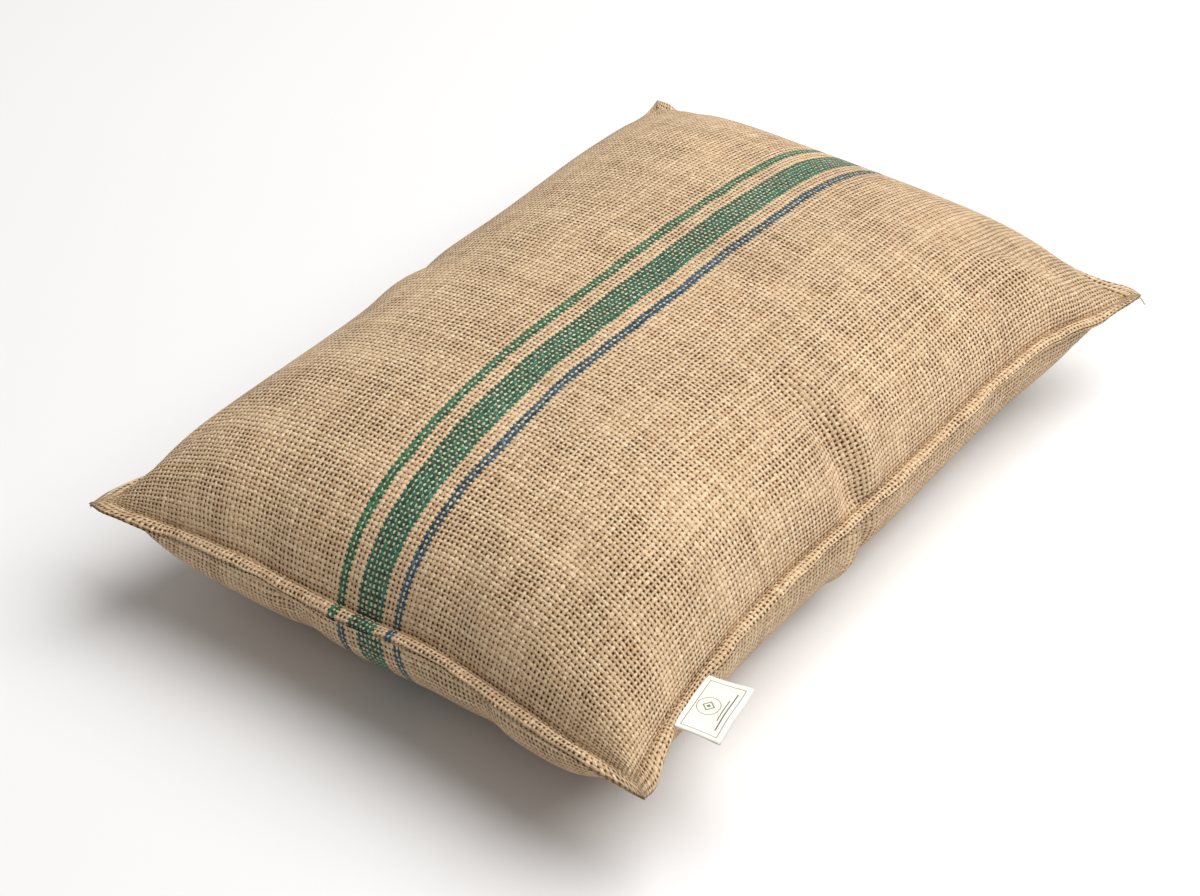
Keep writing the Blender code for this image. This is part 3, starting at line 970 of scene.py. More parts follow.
    def even_net(self, side: Side) -> Array:
        """Grid of points on a panel at even distances over the cloth.

        The net is stepped evenly along the mean of three lengthways lines, and then across.

        Args:
            side: Top or bottom.

        Returns:
            The points, (across, along, 3).
        """
        dense = np.sin(np.linspace(-math.pi / 2, math.pi / 2, 1201))
        profile = [self.surface(Side.TOP, np.full_like(dense, c), dense) for c in (0.0, 0.55, 0.8)]
        steps = [np.linalg.norm(np.diff(line, axis=0), axis=1) for line in profile]
        gone = np.mean([np.concatenate([[0], np.cumsum(line)]) for line in steps], 0)
        v = np.interp(np.linspace(0, gone[-1], self.cells_along + 1), gone, dense)
        v[0], v[-1] = -1.0, 1.0
        u_dense, v_dense = np.meshgrid(dense, v, indexing="ij")
        rows = self.surface(side, u_dense, v_dense)
        steps = np.linalg.norm(np.diff(rows, axis=0), axis=-1)
        gone = np.concatenate([np.zeros((1, len(v))), np.cumsum(steps, 0)])
        share = np.linspace(0, 1, self.cells_across + 1)
        u = np.stack([np.interp(share * g[-1], g, dense) for g in gone.T], 1)
        u[0], u[-1] = -1.0, 1.0
        return self.surface(side, u, np.broadcast_to(v, u.shape))

    def weld(self) -> tuple[Array, Array, Array]:
        """The two nets as one set of points that share the groove.

        Returns:
            Points, and the top and bottom nets of indices.
        """
        top, bottom = self.even_net(Side.TOP), self.even_net(Side.BOTTOM)
        rows, columns = top.shape[:2]
        upper = np.arange(rows * columns).reshape(rows, columns)
        inner = np.zeros((rows, columns), bool)
        inner[1:-1, 1:-1] = True
        lower = upper.copy()
        lower[inner] = rows * columns + np.arange(inner.sum())
        return np.concatenate([top.reshape(-1, 3), bottom[inner]]), upper, lower

    def fold(self, points: Array, index: Array, side: Side, creases: Sequence[Crease]) -> Array:
        """Presses creases into a panel along its normals; its edge stays where it is.

        Args:
            points: All the points.
            index: The panel's net of indices.
            side: Top or bottom.
            creases: The creases.

        Returns:
            The points after.
        """
        net = points[index]
        normal = side.value * unit(np.cross(np.gradient(net, axis=0), np.gradient(net, axis=1)))
        inner = np.zeros(index.shape, bool)
        inner[1:-1, 1:-1] = True
        move = sum(c.field(net[..., 0], net[..., 1]) for c in creases)
        folded = points.copy()
        folded[index[inner]] = (net + normal * move[..., None])[inner]
        return folded

    def settle(self, points: Array, upper: Array, lower: Array) -> Array:
        """Blows the welded cloth up gently with the groove held, and returns where it comes to rest.

        The pulls and ripples of the run are kept; most of its broad rise is taken off again, so
        the filled size stays as it was drawn.

        Args:
            points: Places before.
            upper: Indices of the top panel's net.
            lower: Indices of the bottom panel's net.

        Returns:
            Places after, none further than most_move from where it was.
        """
        faces = np.concatenate([grid_faces(upper), grid_faces(lower, flip=True)])
        pinned = self.loop(upper)
        item = lay_mesh("settling_cover", points, faces, body="")
        group = item.vertex_groups.new(name="groove")
        group.add(pinned.tolist(), 1.0, "REPLACE")
        cloth = item.modifiers.new("Cloth", "CLOTH")
        rules = cloth.settings
        rules.quality = 5
        rules.mass = 0.0008
        rules.tension_stiffness, rules.compression_stiffness = 45.0, 12.0
        rules.shear_stiffness, rules.bending_stiffness = 8.0, 0.15
        rules.tension_damping = rules.compression_damping = rules.shear_damping = 2.0
        rules.air_damping = 1.0
        rules.effector_weights.gravity = 0.0
        rules.use_pressure = True
        rules.uniform_pressure_force = 1.0
        rules.pressure_factor = self.pressure
        rules.vertex_group_mass = "groove"
        cloth.collision_settings.use_collision = False
        cloth.point_cache.frame_start, cloth.point_cache.frame_end = 1, self.frames
        scene = bpy.context.scene
        for number in range(1, self.frames + 1):
            scene.frame_set(number)
        graph = bpy.context.evaluated_depsgraph_get()
        held = item.evaluated_get(graph).to_mesh()
        found = np.empty(len(points) * 3, np.float32)
        held.vertices.foreach_get("co", found)
        scene.frame_set(1)
        bpy.data.objects.remove(item, do_unlink=True)
        move = found.reshape(-1, 3).astype(float) - points
        for index in (upper, lower):
            inner = index[1:-1, 1:-1]
            move[inner] = (move[index] - self.broad_share * self.broad(move[index]))[1:-1, 1:-1]
        far = np.linalg.norm(move, axis=1, keepdims=True)
        return points + move * np.minimum(1.0, self.most_move / np.maximum(far, 1e-9))

    def broad(self, field: Array) -> Array:
        """Running mean of a grid of vectors, under a window as wide as broad_cells each way.

        Args:
            field: The vectors, (across, along, 3).

        Returns:
            Their mean, of the same shape.
        """
        window = np.hanning(self.broad_cells + 2)[1:-1]
        window /= window.sum()
        half = self.broad_cells // 2
        for axis in (0, 1):
            pad = [(0, 0)] * 3
            pad[axis] = (half, half)
            padded = np.pad(field, pad, "reflect", reflect_type="odd")
            cells = np.arange(field.shape[axis])
            field = sum(share * np.take(padded, cells + k, axis) for k, share in enumerate(window))
        return field

    def build(self) -> None:
        """Works out both panels: net, creases, cloth run, rest on the floor."""
        points, upper, lower = self.weld()
        points = self.fold(points, upper, Side.TOP, self.top_creases)
        points = self.fold(points, lower, Side.BOTTOM, self.bottom_creases)
        points = self.settle(points, upper, lower)
        under = lower[1:-1, 1:-1].ravel()
        points[under, 2] = self.rest(points[under, 2])
        self.nets = {Side.TOP: points[upper], Side.BOTTOM: points[lower]}
        log.info("form: lowest %.4f, highest %.4f", points[:, 2].min(), points[:, 2].max())

    @staticmethod
    def loop(index: Array) -> Array:
        """The border of an array, once round, anticlockwise from above, from the front left corner."""
        return np.concatenate([index[:-1, 0], index[-1, :-1], index[:0:-1, -1], index[0, :0:-1]])


# --- the cover -----------------------------------------------------------------------------------


@dataclass
class Cover:
    """Both sacking panels with the welt that runs round them, and the sewing threads."""

    form: StuffedForm
    thread: float = 0.0008
    stitch: float = 0.0036
    pitch: float = 0.0046
    lip_lift: float = 0.0015
    lip_closes_in: float = 0.020
    groove_gap: float = 0.0010
    ply: float = 0.0010
    stitch_reach: float = 0.0013
    stitch_height: float = 0.0031
    fold_reach: float = 0.0076  # the welt's fold, where the closing thread lies
    hair_reach: float = 0.0075
    hairs_up_to: float = 0.265  # no hairs past this place along, over the zip
    profile: tuple[tuple[float, float], ...] = (
        (0.0003, 0.0015), (0.0010, 0.0024), (0.0023, 0.0030), (0.0041, 0.0034), (0.0060, 0.0034),
        (0.0076, 0.0028), (0.0087, 0.0017), (0.0090, 0.0007), (0.0085, 0.0003), (0.0060, 0.0004),
    )
    ear_reach: float = 0.030
    ears: tuple[tuple[float, float], ...] = (
        (-0.0125, -0.0110), (0.0160, -0.0085), (0.0075, 0.0125), (-0.0085, 0.0145),
    )
    label_y: float = -0.217

    def __post_init__(self) -> None:
        """Follows the groove once round and finds which way is out at each point."""
        form = self.form
        self.border = form.loop(np.arange((form.cells_across + 1) * (form.cells_along + 1)).reshape(
            form.cells_across + 1, form.cells_along + 1))
        groove = form.nets[Side.TOP].reshape(-1, 3)[self.border]
        across, along = form.cells_across, form.cells_along
        self.corners = np.array([0, across, across + along, 2 * across + along])
        ends = [*self.corners, len(groove)]
        ahead = np.roll(groove, -1, axis=0) - groove
        out = np.zeros_like(groove)
        for first, last in zip(ends, ends[1:]):
            run = ahead[first:last]
            middle = np.concatenate([run[:1], (run[1:] + run[:-1]) / 2])
            out[first:last, 0], out[first:last, 1] = middle[:, 1], -middle[:, 0]
        out = unit(out)
        steps = np.linalg.norm(ahead, axis=1)
        self.gone = np.concatenate([[0], np.cumsum(steps)[:-1]])
        self.perimeter = float(steps.sum())
        apart = np.abs(self.gone[None] - self.gone[self.corners][:, None])
        apart = np.minimum(apart, self.perimeter - apart)
        near = np.exp(-((apart / self.ear_reach) ** 4))
        self.ear = near.max(0)
        at_label = (groove[:, 0] > 0.15) * np.exp(-(((groove[:, 1] - self.label_y) / 0.030) ** 4))
        out = out * (1 - 0.36 * at_label[:, None])
        width = self.profile[-3][0]
        tips = np.array([(*tip, 0.0) for tip in self.ears]) / width
        out = out * (1 - self.ear[:, None]) + np.einsum("kn,kc->nc", near, tips)
        out = out * (1 - 0.26 * np.exp(-((apart.min(0) / 0.0075) ** 2)))[:, None]
        self.groove, self.out = groove, out
        back = smooth((groove[:, 1] - 0.262) / 0.008)
        zip_end = form.zip_straight
        over = np.clip(1 - (np.abs(groove[:, 0]) - zip_end) / self.lip_closes_in, 0, 1)
        self.lift = self.lip_lift * smooth(over) * back
        self.calm = 1 - smooth(over) * back

    def welt(self, side: Side, reach: Array, height: Array) -> Array:
        """Places on the welt, (rings, points round, 3).

        A place is the groove's point, plus reach outwards, plus or minus height: both are swelled
        a little by waves along the seam, and the whole welt tips up and down with another.

        Args:
            side: Top or bottom.
            reach: Distance out from the groove, one for each ring.
            height: Height off the mid-plane, one for each ring.

        Returns:
            The places.
        """
        swell = 1 + 0.13 * self.calm * wave(self.gone, 3, 0.016, 0.14, 7)
        thick = 1 + 0.20 * self.calm * wave(self.gone, 5 + int(side.value), 0.012, 0.09, 7)
        thick = thick * (1 - 0.30 * self.ear)
        tip = 0.20 * self.calm * wave(self.gone, 8, 0.05, 0.31)
        ring = self.groove[None] + self.out[None] * (reach[:, None] * swell)[..., None]
        ring = ring + np.zeros((len(reach), 1, 3))
        level = height[:, None] * thick + self.lift
        ring[..., 2] += side.value * level + reach[:, None] * tip
        return ring

    def panel(self, side: Side, node: str, finish: bpy.types.Material) -> bpy.types.Object:
        """One panel: the stuffed net, then the rings of the welt and the turned-in edge.

        Args:
            side: Top or bottom.
            node: The CAD node that it stands for.
            finish: The sacking.

        Returns:
            The panel.
        """
        form = self.form
        flip = side is Side.BOTTOM
        net = form.nets[side].copy()
        rows, columns = net.shape[:2]
        flat_net = net.reshape(-1, 3)
        flat_net[self.border, 2] += side.value * (self.groove_gap + self.lift)
        net_index = np.arange(rows * columns).reshape(rows, columns)
        for depth, share in ((1, 0.8), (2, 0.4)):
            inner = form.loop(net_index[depth:-depth, depth:-depth])
            spot = flat_net[inner]
            nearest = np.argmin(((spot[:, None, :2] - self.groove[None, :, :2]) ** 2).sum(-1), 1)
            flat_net[inner, 2] += side.value * share * self.lift[nearest]
        reach, height = np.array(self.profile).T
        rings = self.welt(side, reach, height)
        s, t = np.meshgrid(
            np.linspace(-form.width / 2, form.width / 2, rows),
            np.linspace(-form.length / 2, form.length / 2, columns), indexing="ij",
        )
        cloth = np.stack([s, t], -1).reshape(-1, 2)
        unrolled = np.cumsum(np.hypot(np.diff(reach, prepend=0), np.diff(height, prepend=self.groove_gap)))
        ring_cloth = cloth[self.border][None] + self.cloth_out()[None] * unrolled[:, None, None]
        points = np.concatenate([flat_net, rings.reshape(-1, 3)])
        cloth = np.concatenate([cloth, ring_cloth.reshape(-1, 2)])
        margin = self.margin()
        uv = cloth / [form.width + 2 * margin, form.length + 2 * margin] + 0.5
        ring_index = np.arange(rings[..., 0].size).reshape(len(reach), -1) + rows * columns
        band = loop_faces(np.concatenate([self.border[None], ring_index]), flip)
        faces = np.concatenate([grid_faces(net_index, flip), band])
        item = lay_mesh(f"cover_{side.name.lower()}_sacking", points, faces, finish, uv)
        finer = item.modifiers.new("Finer", "SUBSURF")
        finer.levels = finer.render_levels = 1
        add_ply(item, self.ply, -1.0)
        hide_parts(node)
        return item

    def margin(self) -> float:
        """Cloth outside the groove on the flat map.

        Returns:
            The welt's profile laid flat, and a millimetre more.
        """
        reach, height = np.array(self.profile).T
        unrolled = np.hypot(np.diff(reach, prepend=0), np.diff(height, prepend=self.groove_gap)).sum()
        return float(unrolled) + 0.001

    def cloth_out(self) -> Array:
        """Which way is out on the flat cloth.

        Returns:
            A direction for each point of the groove, (n, 2), along both edges at a corner.
        """
        cells = [self.form.cells_across, self.form.cells_along] * 2
        out = np.repeat([[0.0, -1.0], [1.0, 0.0], [0.0, 1.0], [-1.0, 0.0]], cells, axis=0)
        out[self.corners] += np.roll(out, 1, axis=0)[self.corners]
        return out

    def path(self, where: Array, side: Side, reach: float, height: float) -> Array:
        """Places on the welt at distances along the groove.

        Args:
            where: The distances.
            side: Top or bottom.
            reach: Distance out from the groove.
            height: Height off the mid-plane.

        Returns:
            The places, (n, 3).
        """
        ring = self.welt(side, np.array([reach]), np.array([height]))[0]
        at = np.concatenate([self.gone, [self.perimeter]])
        ring = np.concatenate([ring, ring[:1]])
        where = np.mod(where, self.perimeter)
        return np.stack([np.interp(where, at, ring[:, c]) for c in range(3)], -1)

    def topstitch(self, side: Side, node: str, finish: bpy.types.Material) -> bpy.types.Object:
        """Separate stitches beside the groove, each a short thread that dives in at both ends.

        Args:
            side: Top or bottom.
            node: The CAD node that it stands for.
            finish: The thread.

        Returns:
            The stitches, as one piece.
        """
        count = int(self.perimeter / self.pitch)
        steps = np.linspace(-0.5, 0.5, 7)
        middles = (np.arange(count) + 0.5) * self.perimeter / count
        where = middles[:, None] + steps * self.stitch
        paths = self.path(where.ravel(), side, self.stitch_reach, self.stitch_height)
        paths = paths.reshape(count, len(steps), 3)
        paths[..., 2] += side.value * (0.00025 - 0.0012 * np.abs(2 * steps) ** 3)
        radii = np.broadcast_to(self.thread / 2 * (1 - 0.5 * np.abs(2 * steps) ** 4), paths.shape[:2])
        item = lay_mesh(f"topstitch_{side.name.lower()}", *tubes(paths, radii), finish)
        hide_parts(node)
        return item

    def closing_thread(self, finish: bpy.types.Material, steps: int = 700) -> bpy.types.Object:
        """Thread between the panels at the fold of the welt, from one end of the zip to the other.

        Args:
            finish: The thread.
            steps: Points along it.

        Returns:
            The thread.
        """
        side_span = self.form.groove_x - self.form.zip_straight
        first = self.gone[self.corners[3]] - side_span
        where = np.linspace(first, first + self.perimeter - 2 * self.form.zip_straight, steps)
        path = self.path(where, Side.TOP, self.fold_reach, 0.0)
        radii = np.full((1, steps), self.thread * 0.3)
        item = lay_mesh("closing_thread", *tubes(path[None], radii), finish)
        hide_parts("closing_seam_thread")
        return item

    def loose_fibres(self, finish: bpy.types.Material, count: int = 190) -> bpy.types.Object:
        """Short jute hairs that stand off the welt; none over the zip, where the slider runs.

        A hair runs out and along by its length times the share gone, and curls with its square.

        Args:
            finish: The jute.
            count: Hairs drawn, before those over the zip are dropped.

        Returns:
            The hairs, as one piece.
        """
        draw = np.random.default_rng(41)
        steps = np.linspace(0, 1, 8)
        where = draw.uniform(0, self.perimeter, count)
        where = where[self.path(where, Side.TOP, self.hair_reach, 0.0)[:, 1] < self.hairs_up_to]
        count = len(where)
        start = self.path(where, Side.TOP, self.hair_reach, 0.0)
        ahead = self.path(where + 0.002, Side.TOP, self.hair_reach, 0.0) - start
        along = unit(ahead)
        out = np.stack([along[:, 1], -along[:, 0], np.zeros(count)], -1)
        size = draw.uniform(0.002, 0.006, count) * (1 + (draw.uniform(0, 1, count) > 0.95))
        lean = draw.normal(0, 0.8, count)
        rise = draw.normal(0, 0.5, count)
        curl = draw.normal(0, 0.6, (count, 2))
        reach = steps[None] * size[:, None]
        bend = steps[None] ** 2 * size[:, None]
        sideways = reach * lean[:, None] + bend * curl[:, :1]
        paths = start[:, None] + out[:, None] * reach[..., None] + along[:, None] * sideways[..., None]
        paths[..., 2] += reach * rise[:, None] + bend * curl[:, 1:] - bend * 0.4
        radii = 0.00005 * (1 - 0.6 * steps)[None] * np.ones((count, 1))
        item = lay_mesh("loose_fibres", *tubes(paths, radii, sides=4), finish)
        return item

    def corner_tufts(self, finish: bpy.types.Material) -> bpy.types.Object:
        """Thread ends at the tips of the ears, left where the sewing stops.

        An end runs outwards by its length times the share gone, and drops with its square.

        Args:
            finish: The thread.

        Returns:
            The thread ends, as one piece.
        """
        draw = np.random.default_rng(7)
        steps = np.linspace(0, 1, 14)
        ends = []
        for corner, count, length in ((2, 5, 0.009), (1, 2, 0.004), (0, 3, 0.005), (3, 2, 0.004)):
            tip = self.path(np.array([self.gone[self.corners[corner]]]), Side.TOP, 0.0065, 0.0)[0]
            out = unit(self.out[self.corners[corner]])
            for _ in range(count):
                size = length * draw.uniform(0.6, 1.1)
                side_way = np.array([-out[1], out[0], 0.0]) * draw.normal(0, 0.45)
                reach = steps[:, None] * (out * 0.55 + side_way) * size
                drop = -0.9 * steps**2 * size + 0.25 * steps * size
                ends.append(tip + reach + np.stack([0 * steps, 0 * steps, drop], -1))
        paths = np.array(ends)
        radii = 0.00022 * (1 - 0.3 * steps)[None] * np.ones((len(paths), 1))
        item = lay_mesh("corner_thread_ends", *tubes(paths, radii, sides=6), finish)
        return item


# --- the pad inside ------------------------------------------------------------------------------


@dataclass
class InnerPad:
    """Calico case and its filling, which follow the cover from inside."""

    form: StuffedForm
    rim: int = 2
    case_inset: float = 0.0024
    fill_inset: float = 0.0042
    calico: float = 0.0006
    seam_radius: float = 0.0003

    def shell(self, side: Side, inset: float, gap: float) -> tuple[Array, Array]:
        """A net drawn inwards along its normals, with a last ring at the mid-plane.

        Args:
            side: Top or bottom.
            inset: How far inside the cover.
            gap: Height of the last ring off the mid-plane.

        Returns:
            Points and quads.
        """
        net = self.form.nets[side]
        normal = side.value * unit(np.cross(np.gradient(net, axis=0), np.gradient(net, axis=1)))
        cut = slice(self.rim, -self.rim)
        inner = (net - normal * inset)[cut, cut]
        rows, columns = inner.shape[:2]
        index = np.arange(rows * columns).reshape(rows, columns)
        border = self.form.loop(index)
        both = [self.form.nets[s][cut, cut].reshape(-1, 3)[border] for s in Side]
        ring = (both[0] + both[1]) / 2
        ring = ring + unit(-ring * [1.0, 1.0, 0.0]) * inset
        ring[:, 2] += side.value * gap
        points = np.concatenate([inner.reshape(-1, 3), ring])
        loop = np.stack([border, rows * columns + np.arange(len(border))])
        flip = side is Side.BOTTOM
        return points, np.concatenate([grid_faces(index, flip), loop_faces(loop, flip)])

    def build(self, calico: bpy.types.Material, fibre: bpy.types.Material, yarn: bpy.types.Material) -> None:
        """Both halves of the case, its seam thread and the filling.

        Args:
            calico: The case.
            fibre: The filling.
            yarn: The seam thread.
        """
        for side, node in ((Side.TOP, "inner_case_top"), (Side.BOTTOM, "inner_case_bottom")):
            item = lay_mesh(f"case_{side.name.lower()}", *self.shell(side, self.case_inset, 0.0005), calico)
            add_ply(item, self.calico, -1.0)
            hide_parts(node)
        points, _ = self.shell(Side.TOP, self.case_inset, 0.0)
        rows = self.form.cells_across + 1 - 2 * self.rim
        columns = self.form.cells_along + 1 - 2 * self.rim
        ring = points[rows * columns:]
        ring = np.concatenate([ring, ring[:1]])[None]
        item = lay_mesh("case_seam_thread", *tubes(ring, np.full(ring.shape[:2], self.seam_radius)), yarn)
        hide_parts("inner_case_seam_thread")
        halves = [self.shell(side, self.fill_inset, 0.0) for side in Side]
        count = len(halves[0][0])
        points = np.concatenate([halves[0][0], halves[1][0]])
        faces = np.concatenate([halves[0][1], halves[1][1] + count])
        ring_size = count - rows * columns
        same = np.arange(len(points))
        same[-ring_size:] = np.arange(rows * columns, count)
        item = lay_mesh("fibre_pad", points, same[faces], fibre)
        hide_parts("fibre_filling")


# --- label and zip -------------------------------------------------------------------------------


@dataclass
class SideLabel:
    """Folded woven tape sewn into the long seam, laid out from the hinge where it leaves the welt."""

    thickness: float = 0.00035
    gap: float = 0.0002
    width: float = 0.045
    drop: float = 0.0226  # from the hinge to the fold
    tail: float = 0.0090  # from the hinge into the seam
    face_start: float = -0.0045  # where the printed face begins, from the hinge
    fold: float = 0.0006  # depth of the rounded fold
    curl: float = 0.0012
    skew: float = 0.018  # how far the under ply lies off the upper one, as a share of the width
    flat_steps: int = 22
    fold_steps: int = 5
    cells_across: int = 24

    def __post_init__(self) -> None:
        """Takes the hinge and its directions from the frame."""
        joint = next(j for j in frame["joints"] if j["name"] == "label_bend")
        self.hinge = np.array(joint["pos_m"], float)
        axis = unit(np.array(joint["axis"], float))
        self.along = -axis
        self.outward = np.cross(self.along, [0.0, 0.0, 1.0])

    def material_size(self) -> tuple[float, float]:
        """Width along the seam and length of the face that shows."""
        return self.width, self.drop - self.face_start

    def build(self, finish: bpy.types.Material) -> bpy.types.Object:
        """Both plies as one strip: out from the seam, round the fold and back.

        The strip is a profile (reach, level) carried along the seam. Its height is the level, plus
        a curl and a ripple that grow from the seam to the fold, both sines of the place across.

        Args:
            finish: The label's cloth.

        Returns:
            The label.
        """
        flat = np.linspace(-self.tail, self.drop - self.fold, self.flat_steps)
        turn = np.linspace(-math.pi / 2, math.pi / 2, self.fold_steps + 2)[1:-1]
        bend = self.gap + self.thickness / 2
        ply = np.full(self.flat_steps, bend)
        reach = np.concatenate([flat, self.drop - self.fold + self.fold * np.cos(turn), flat[::-1]])
        level = np.concatenate([ply, -bend * np.sin(turn), -ply])
        level = level + np.sign(level) * smooth(reach / 0.02) * 0.0005
        across = np.linspace(-0.5, 0.5, self.cells_across + 1)
        r, a = np.meshgrid(reach, across, indexing="ij")
        h, _ = np.meshgrid(level, across, indexing="ij")
        under = (h < 0) * smooth(r / 0.012)
        flapped = smooth(r / self.drop)
        ripple = 0.0006 * flapped * np.sin(a * 9 + r * 120)
        h = h + self.curl * flapped * (np.sin(a * 2.4 + 0.6) - 0.35) + ripple
        a = a + under * self.skew
        r = r + under * 0.0009 * flapped
        points = (
            self.hinge + self.outward * r[..., None] + self.along * (a * self.width)[..., None]
            + np.array([0.0, 0.0, 1.0]) * h[..., None]
        )
        rows, columns = r.shape
        index = np.arange(rows * columns).reshape(rows, columns)
        uv = np.stack([0.5 - a, (r - self.face_start) / (self.drop - self.face_start)], -1)
        half = np.arange(rows)[:, None] > rows // 2
        uv = np.where(half[..., None], uv + [0.0, 2.0], uv)
        points, uv = points.reshape(-1, 3), uv.reshape(-1, 2)
        item = lay_mesh("side_label", points, grid_faces(index), finish, uv, body="")
        add_ply(item, self.thickness, 0.0)
        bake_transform(item)
        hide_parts("side_label_flap", "side_label_tail")
        return item


@dataclass
class Zip:
    """Coil zip between the lips at the back: two rows of nylon loops."""

    pitch: float = 0.00150
    wire: float = 0.00034
    lean: float = 0.30  # how far a loop tips, in pitches
    squareness: float = 0.7
    loop_steps: int = 13

    def coil(self, node: str, side: Side, finish: bpy.types.Material) -> bpy.types.Object:
        """One row of loops: each is a flattened ring, tipped along the zip, in the node's box.

        A loop's path is (advance along x, depth cos a, height sin a), with a from 0 to a full turn,
        and the cosine and sine taken to the power squareness, which flattens the ring.

        Args:
            node: The CAD node that it stands for.
            side: Top or bottom.
            finish: The nylon.

        Returns:
            The loops, as one piece.
        """
        low, high = (np.array(c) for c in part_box(node))
        middle = (low + high) / 2
        half = (high - low) / 2 - self.wire
        count = int((high[0] - low[0]) / self.pitch)
        x = low[0] + (np.arange(count) + 0.5) * (high[0] - low[0]) / count + side.value * self.pitch / 4
        turn = np.linspace(0, 2 * math.pi, self.loop_steps)
        ring = np.stack([np.cos(turn), np.sin(turn)], -1)
        ring = middle[1:] + half[1:] * np.sign(ring) * np.abs(ring) ** self.squareness
        along = x[:, None] + self.lean * self.pitch * np.sin(turn)
        paths = np.concatenate([along[..., None], np.broadcast_to(ring, (count, *ring.shape))], -1)
        item = lay_mesh(node + "_loops", *tubes(paths, np.full(paths.shape[:2], self.wire), sides=4), finish)
        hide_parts(node)
        return item

    def build(self, nylon: bpy.types.Material, tape: bpy.types.Material, brass: bpy.types.Material) -> None:
        """The loops, and new finishes for the tapes, the stops, the slider and its tab.

        Args:
            nylon: The coils and the top stops.
            tape: The tapes.
            brass: The bottom stop, the slider and its tab.
        """
        self.coil("zip_coil_upper", Side.TOP, nylon)
        self.coil("zip_coil_lower", Side.BOTTOM, nylon)
        kept = {
            "zip_tape_upper": tape, "zip_tape_lower": tape,
            "zip_top_stop_upper": nylon, "zip_top_stop_lower": nylon,
            "zip_bottom_stop": brass, "zip_slider": brass, "zip_pull_tab": brass,
        }
        for name, finish in kept.items():
            node = frame["nodes"][name]
            node.data.materials.clear()
            node.data.materials.append(finish)
            log.info("%s: refinished", name)


# --- studio --------------------------------------------------------------------------------------


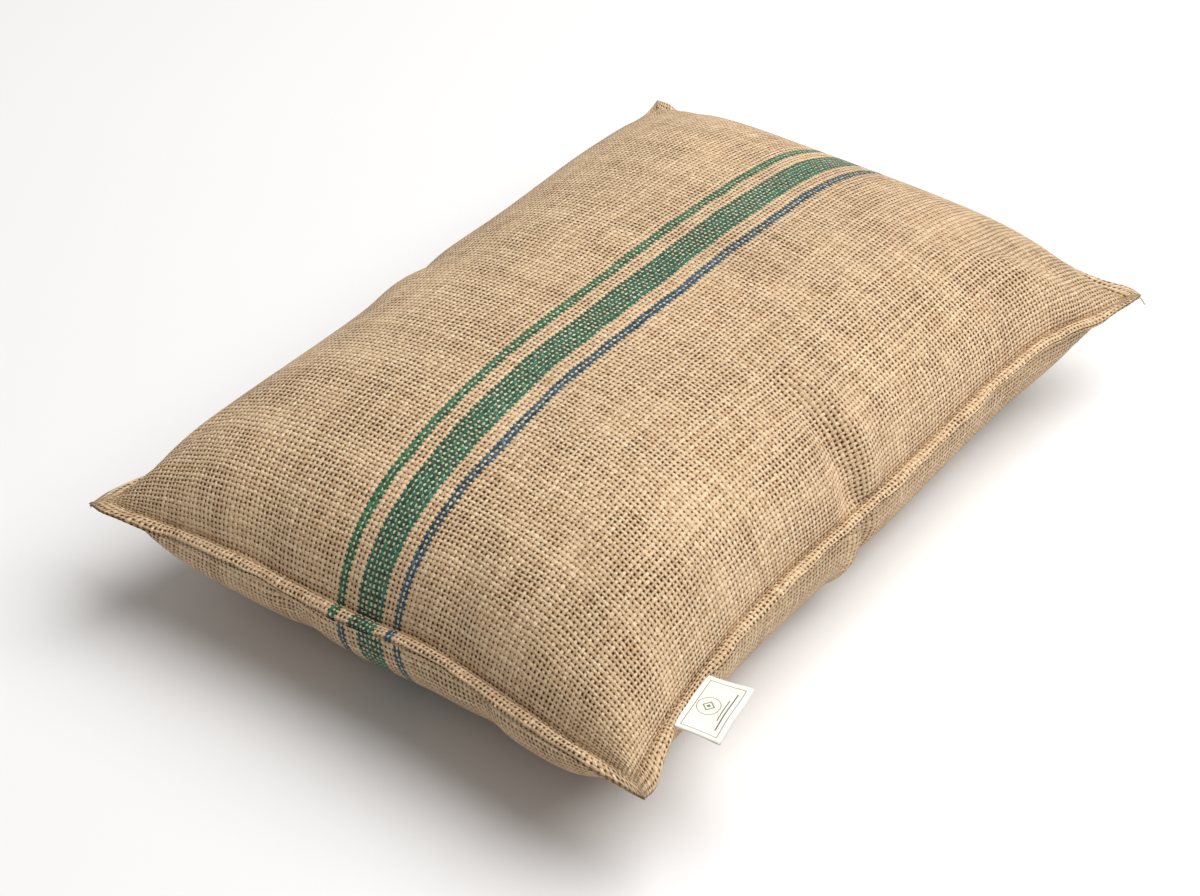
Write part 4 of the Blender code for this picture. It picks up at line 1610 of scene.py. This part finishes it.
@dataclass
class Studio:
    """Pale floor, soft light and the camera."""

    eye: Vector = field(default_factory=lambda: Vector((0.7578, -1.0789, 1.0802)))
    target: Vector = field(default_factory=lambda: Vector((-0.0090, -0.0384, 0.0500)))
    lens: float = 77.46
    floor_half: float = 30.0
    floor_drop: float = 0.0004  # keeps the floor's face off the cushion's lowest faces
    key_place: Vector = field(default_factory=lambda: Vector((1.30, 1.05, 3.1)))
    key_aim: Vector = field(default_factory=lambda: Vector((0.0, 0.0, 0.08)))
    key_size: float = 3.8
    key_power: float = 190.0
    key_colour: Colour = (1.0, 0.99, 0.97)
    sky_colour: Colour = (1.0, 0.97, 0.925)
    sky_strength: float = 0.38

    def floor(self) -> None:
        """A wide sheet just under the cushion."""
        corners = np.array([[-1.0, -1.0], [1.0, -1.0], [1.0, 1.0], [-1.0, 1.0]]) * self.floor_half
        points = np.column_stack([corners, np.full(4, -self.floor_drop)])
        item = lay_mesh("studio_floor", points, np.array([[0, 1, 2, 3]]), PaperFinish().material(), body="")

    @staticmethod
    def stand(data: Union[bpy.types.Light, bpy.types.Camera], place: Vector, aim: Vector) -> bpy.types.Object:
        """Puts a light or a camera at a place, facing a point.

        Args:
            data: The light or camera.
            place: Where it stands.
            aim: What it faces.

        Returns:
            Its object.
        """
        item = bpy.data.objects.new(data.name, data)
        bpy.context.scene.collection.objects.link(item)
        item.location = place
        item.rotation_euler = (aim - place).to_track_quat("-Z", "Y").to_euler()
        return item

    def camera(self) -> None:
        """The camera, aimed at its target."""
        data = bpy.data.cameras.new("view")
        data.lens, data.sensor_width, data.sensor_fit = self.lens, 36.0, "HORIZONTAL"
        data.clip_start, data.clip_end = 0.05, 50.0
        bpy.context.scene.camera = self.stand(data, self.eye, self.target)

    def key(self) -> None:
        """A wide round lamp, high behind the cushion's right side."""
        data = bpy.data.lights.new("key", "AREA")
        data.shape, data.size = "DISK", self.key_size
        data.energy, data.color = self.key_power, self.key_colour
        self.stand(data, self.key_place, self.key_aim)

    def sky(self) -> None:
        """Even, slightly warm light from all round."""
        world = bpy.data.worlds.new("sky")
        world.use_nodes = True
        back = world.node_tree.nodes["Background"]
        back.inputs["Color"].default_value = (*self.sky_colour, 1.0)
        back.inputs["Strength"].default_value = self.sky_strength
        bpy.context.scene.world = world

    def build(self) -> None:
        """Camera, floor, key lamp and sky."""
        self.camera()
        self.floor()
        self.key()
        self.sky()
        bpy.context.scene.view_settings.view_transform = "Standard"


def main() -> None:
    """Builds the studio, the cushion's pieces and their finishes, in order."""
    logging.basicConfig(level=logging.INFO, format="%(name)s: %(message)s")
    Studio().build()
    form = StuffedForm()
    form.build()
    cover = Cover(form)
    green = tone(8, 76, 44), tone(70, 136, 96)
    blue = tone(16, 52, 72), tone(84, 118, 138)
    wide = Stripe(-3, 2, tone(6, 66, 46), tone(58, 124, 98))
    cloth_size = form.width, form.length, cover.margin()
    top_cloth = HessianFinish(*cloth_size, (Stripe(-8, -7, *green), wide, Stripe(6, 7, *blue)))
    bottom_cloth = HessianFinish(*cloth_size, (Stripe(-8, -7, *blue), wide, Stripe(6, 7, *blue)))
    thread = YarnFinish("seam_yarn", tone(222, 192, 148), tone(150, 112, 70)).material()
    hair = YarnFinish("jute_hair", tone(206, 172, 126), tone(158, 120, 78), 400.0, 0.00002).material()
    calico = FineWeaveFinish("calico", tone(228, 220, 200), tone(190, 178, 152)).material()
    tape = FineWeaveFinish("zip_tape_weave", tone(140, 106, 68), tone(98, 70, 42), 0.00035).material()
    cover.panel(Side.TOP, "cover_top_panel", top_cloth.material())
    cover.panel(Side.BOTTOM, "cover_bottom_panel", bottom_cloth.material())
    cover.topstitch(Side.TOP, "topstitch_thread_upper", thread)
    cover.topstitch(Side.BOTTOM, "topstitch_thread_lower", thread)
    cover.closing_thread(thread)
    cover.loose_fibres(hair)
    cover.corner_tufts(thread)
    InnerPad(form).build(calico, FibreFinish().material(), thread)
    label = SideLabel()
    label.build(LabelFinish(*label.material_size()).material())
    Zip().build(NylonFinish().material(), tape, BrassFinish().material())


if __name__ == "__main__":
    main()
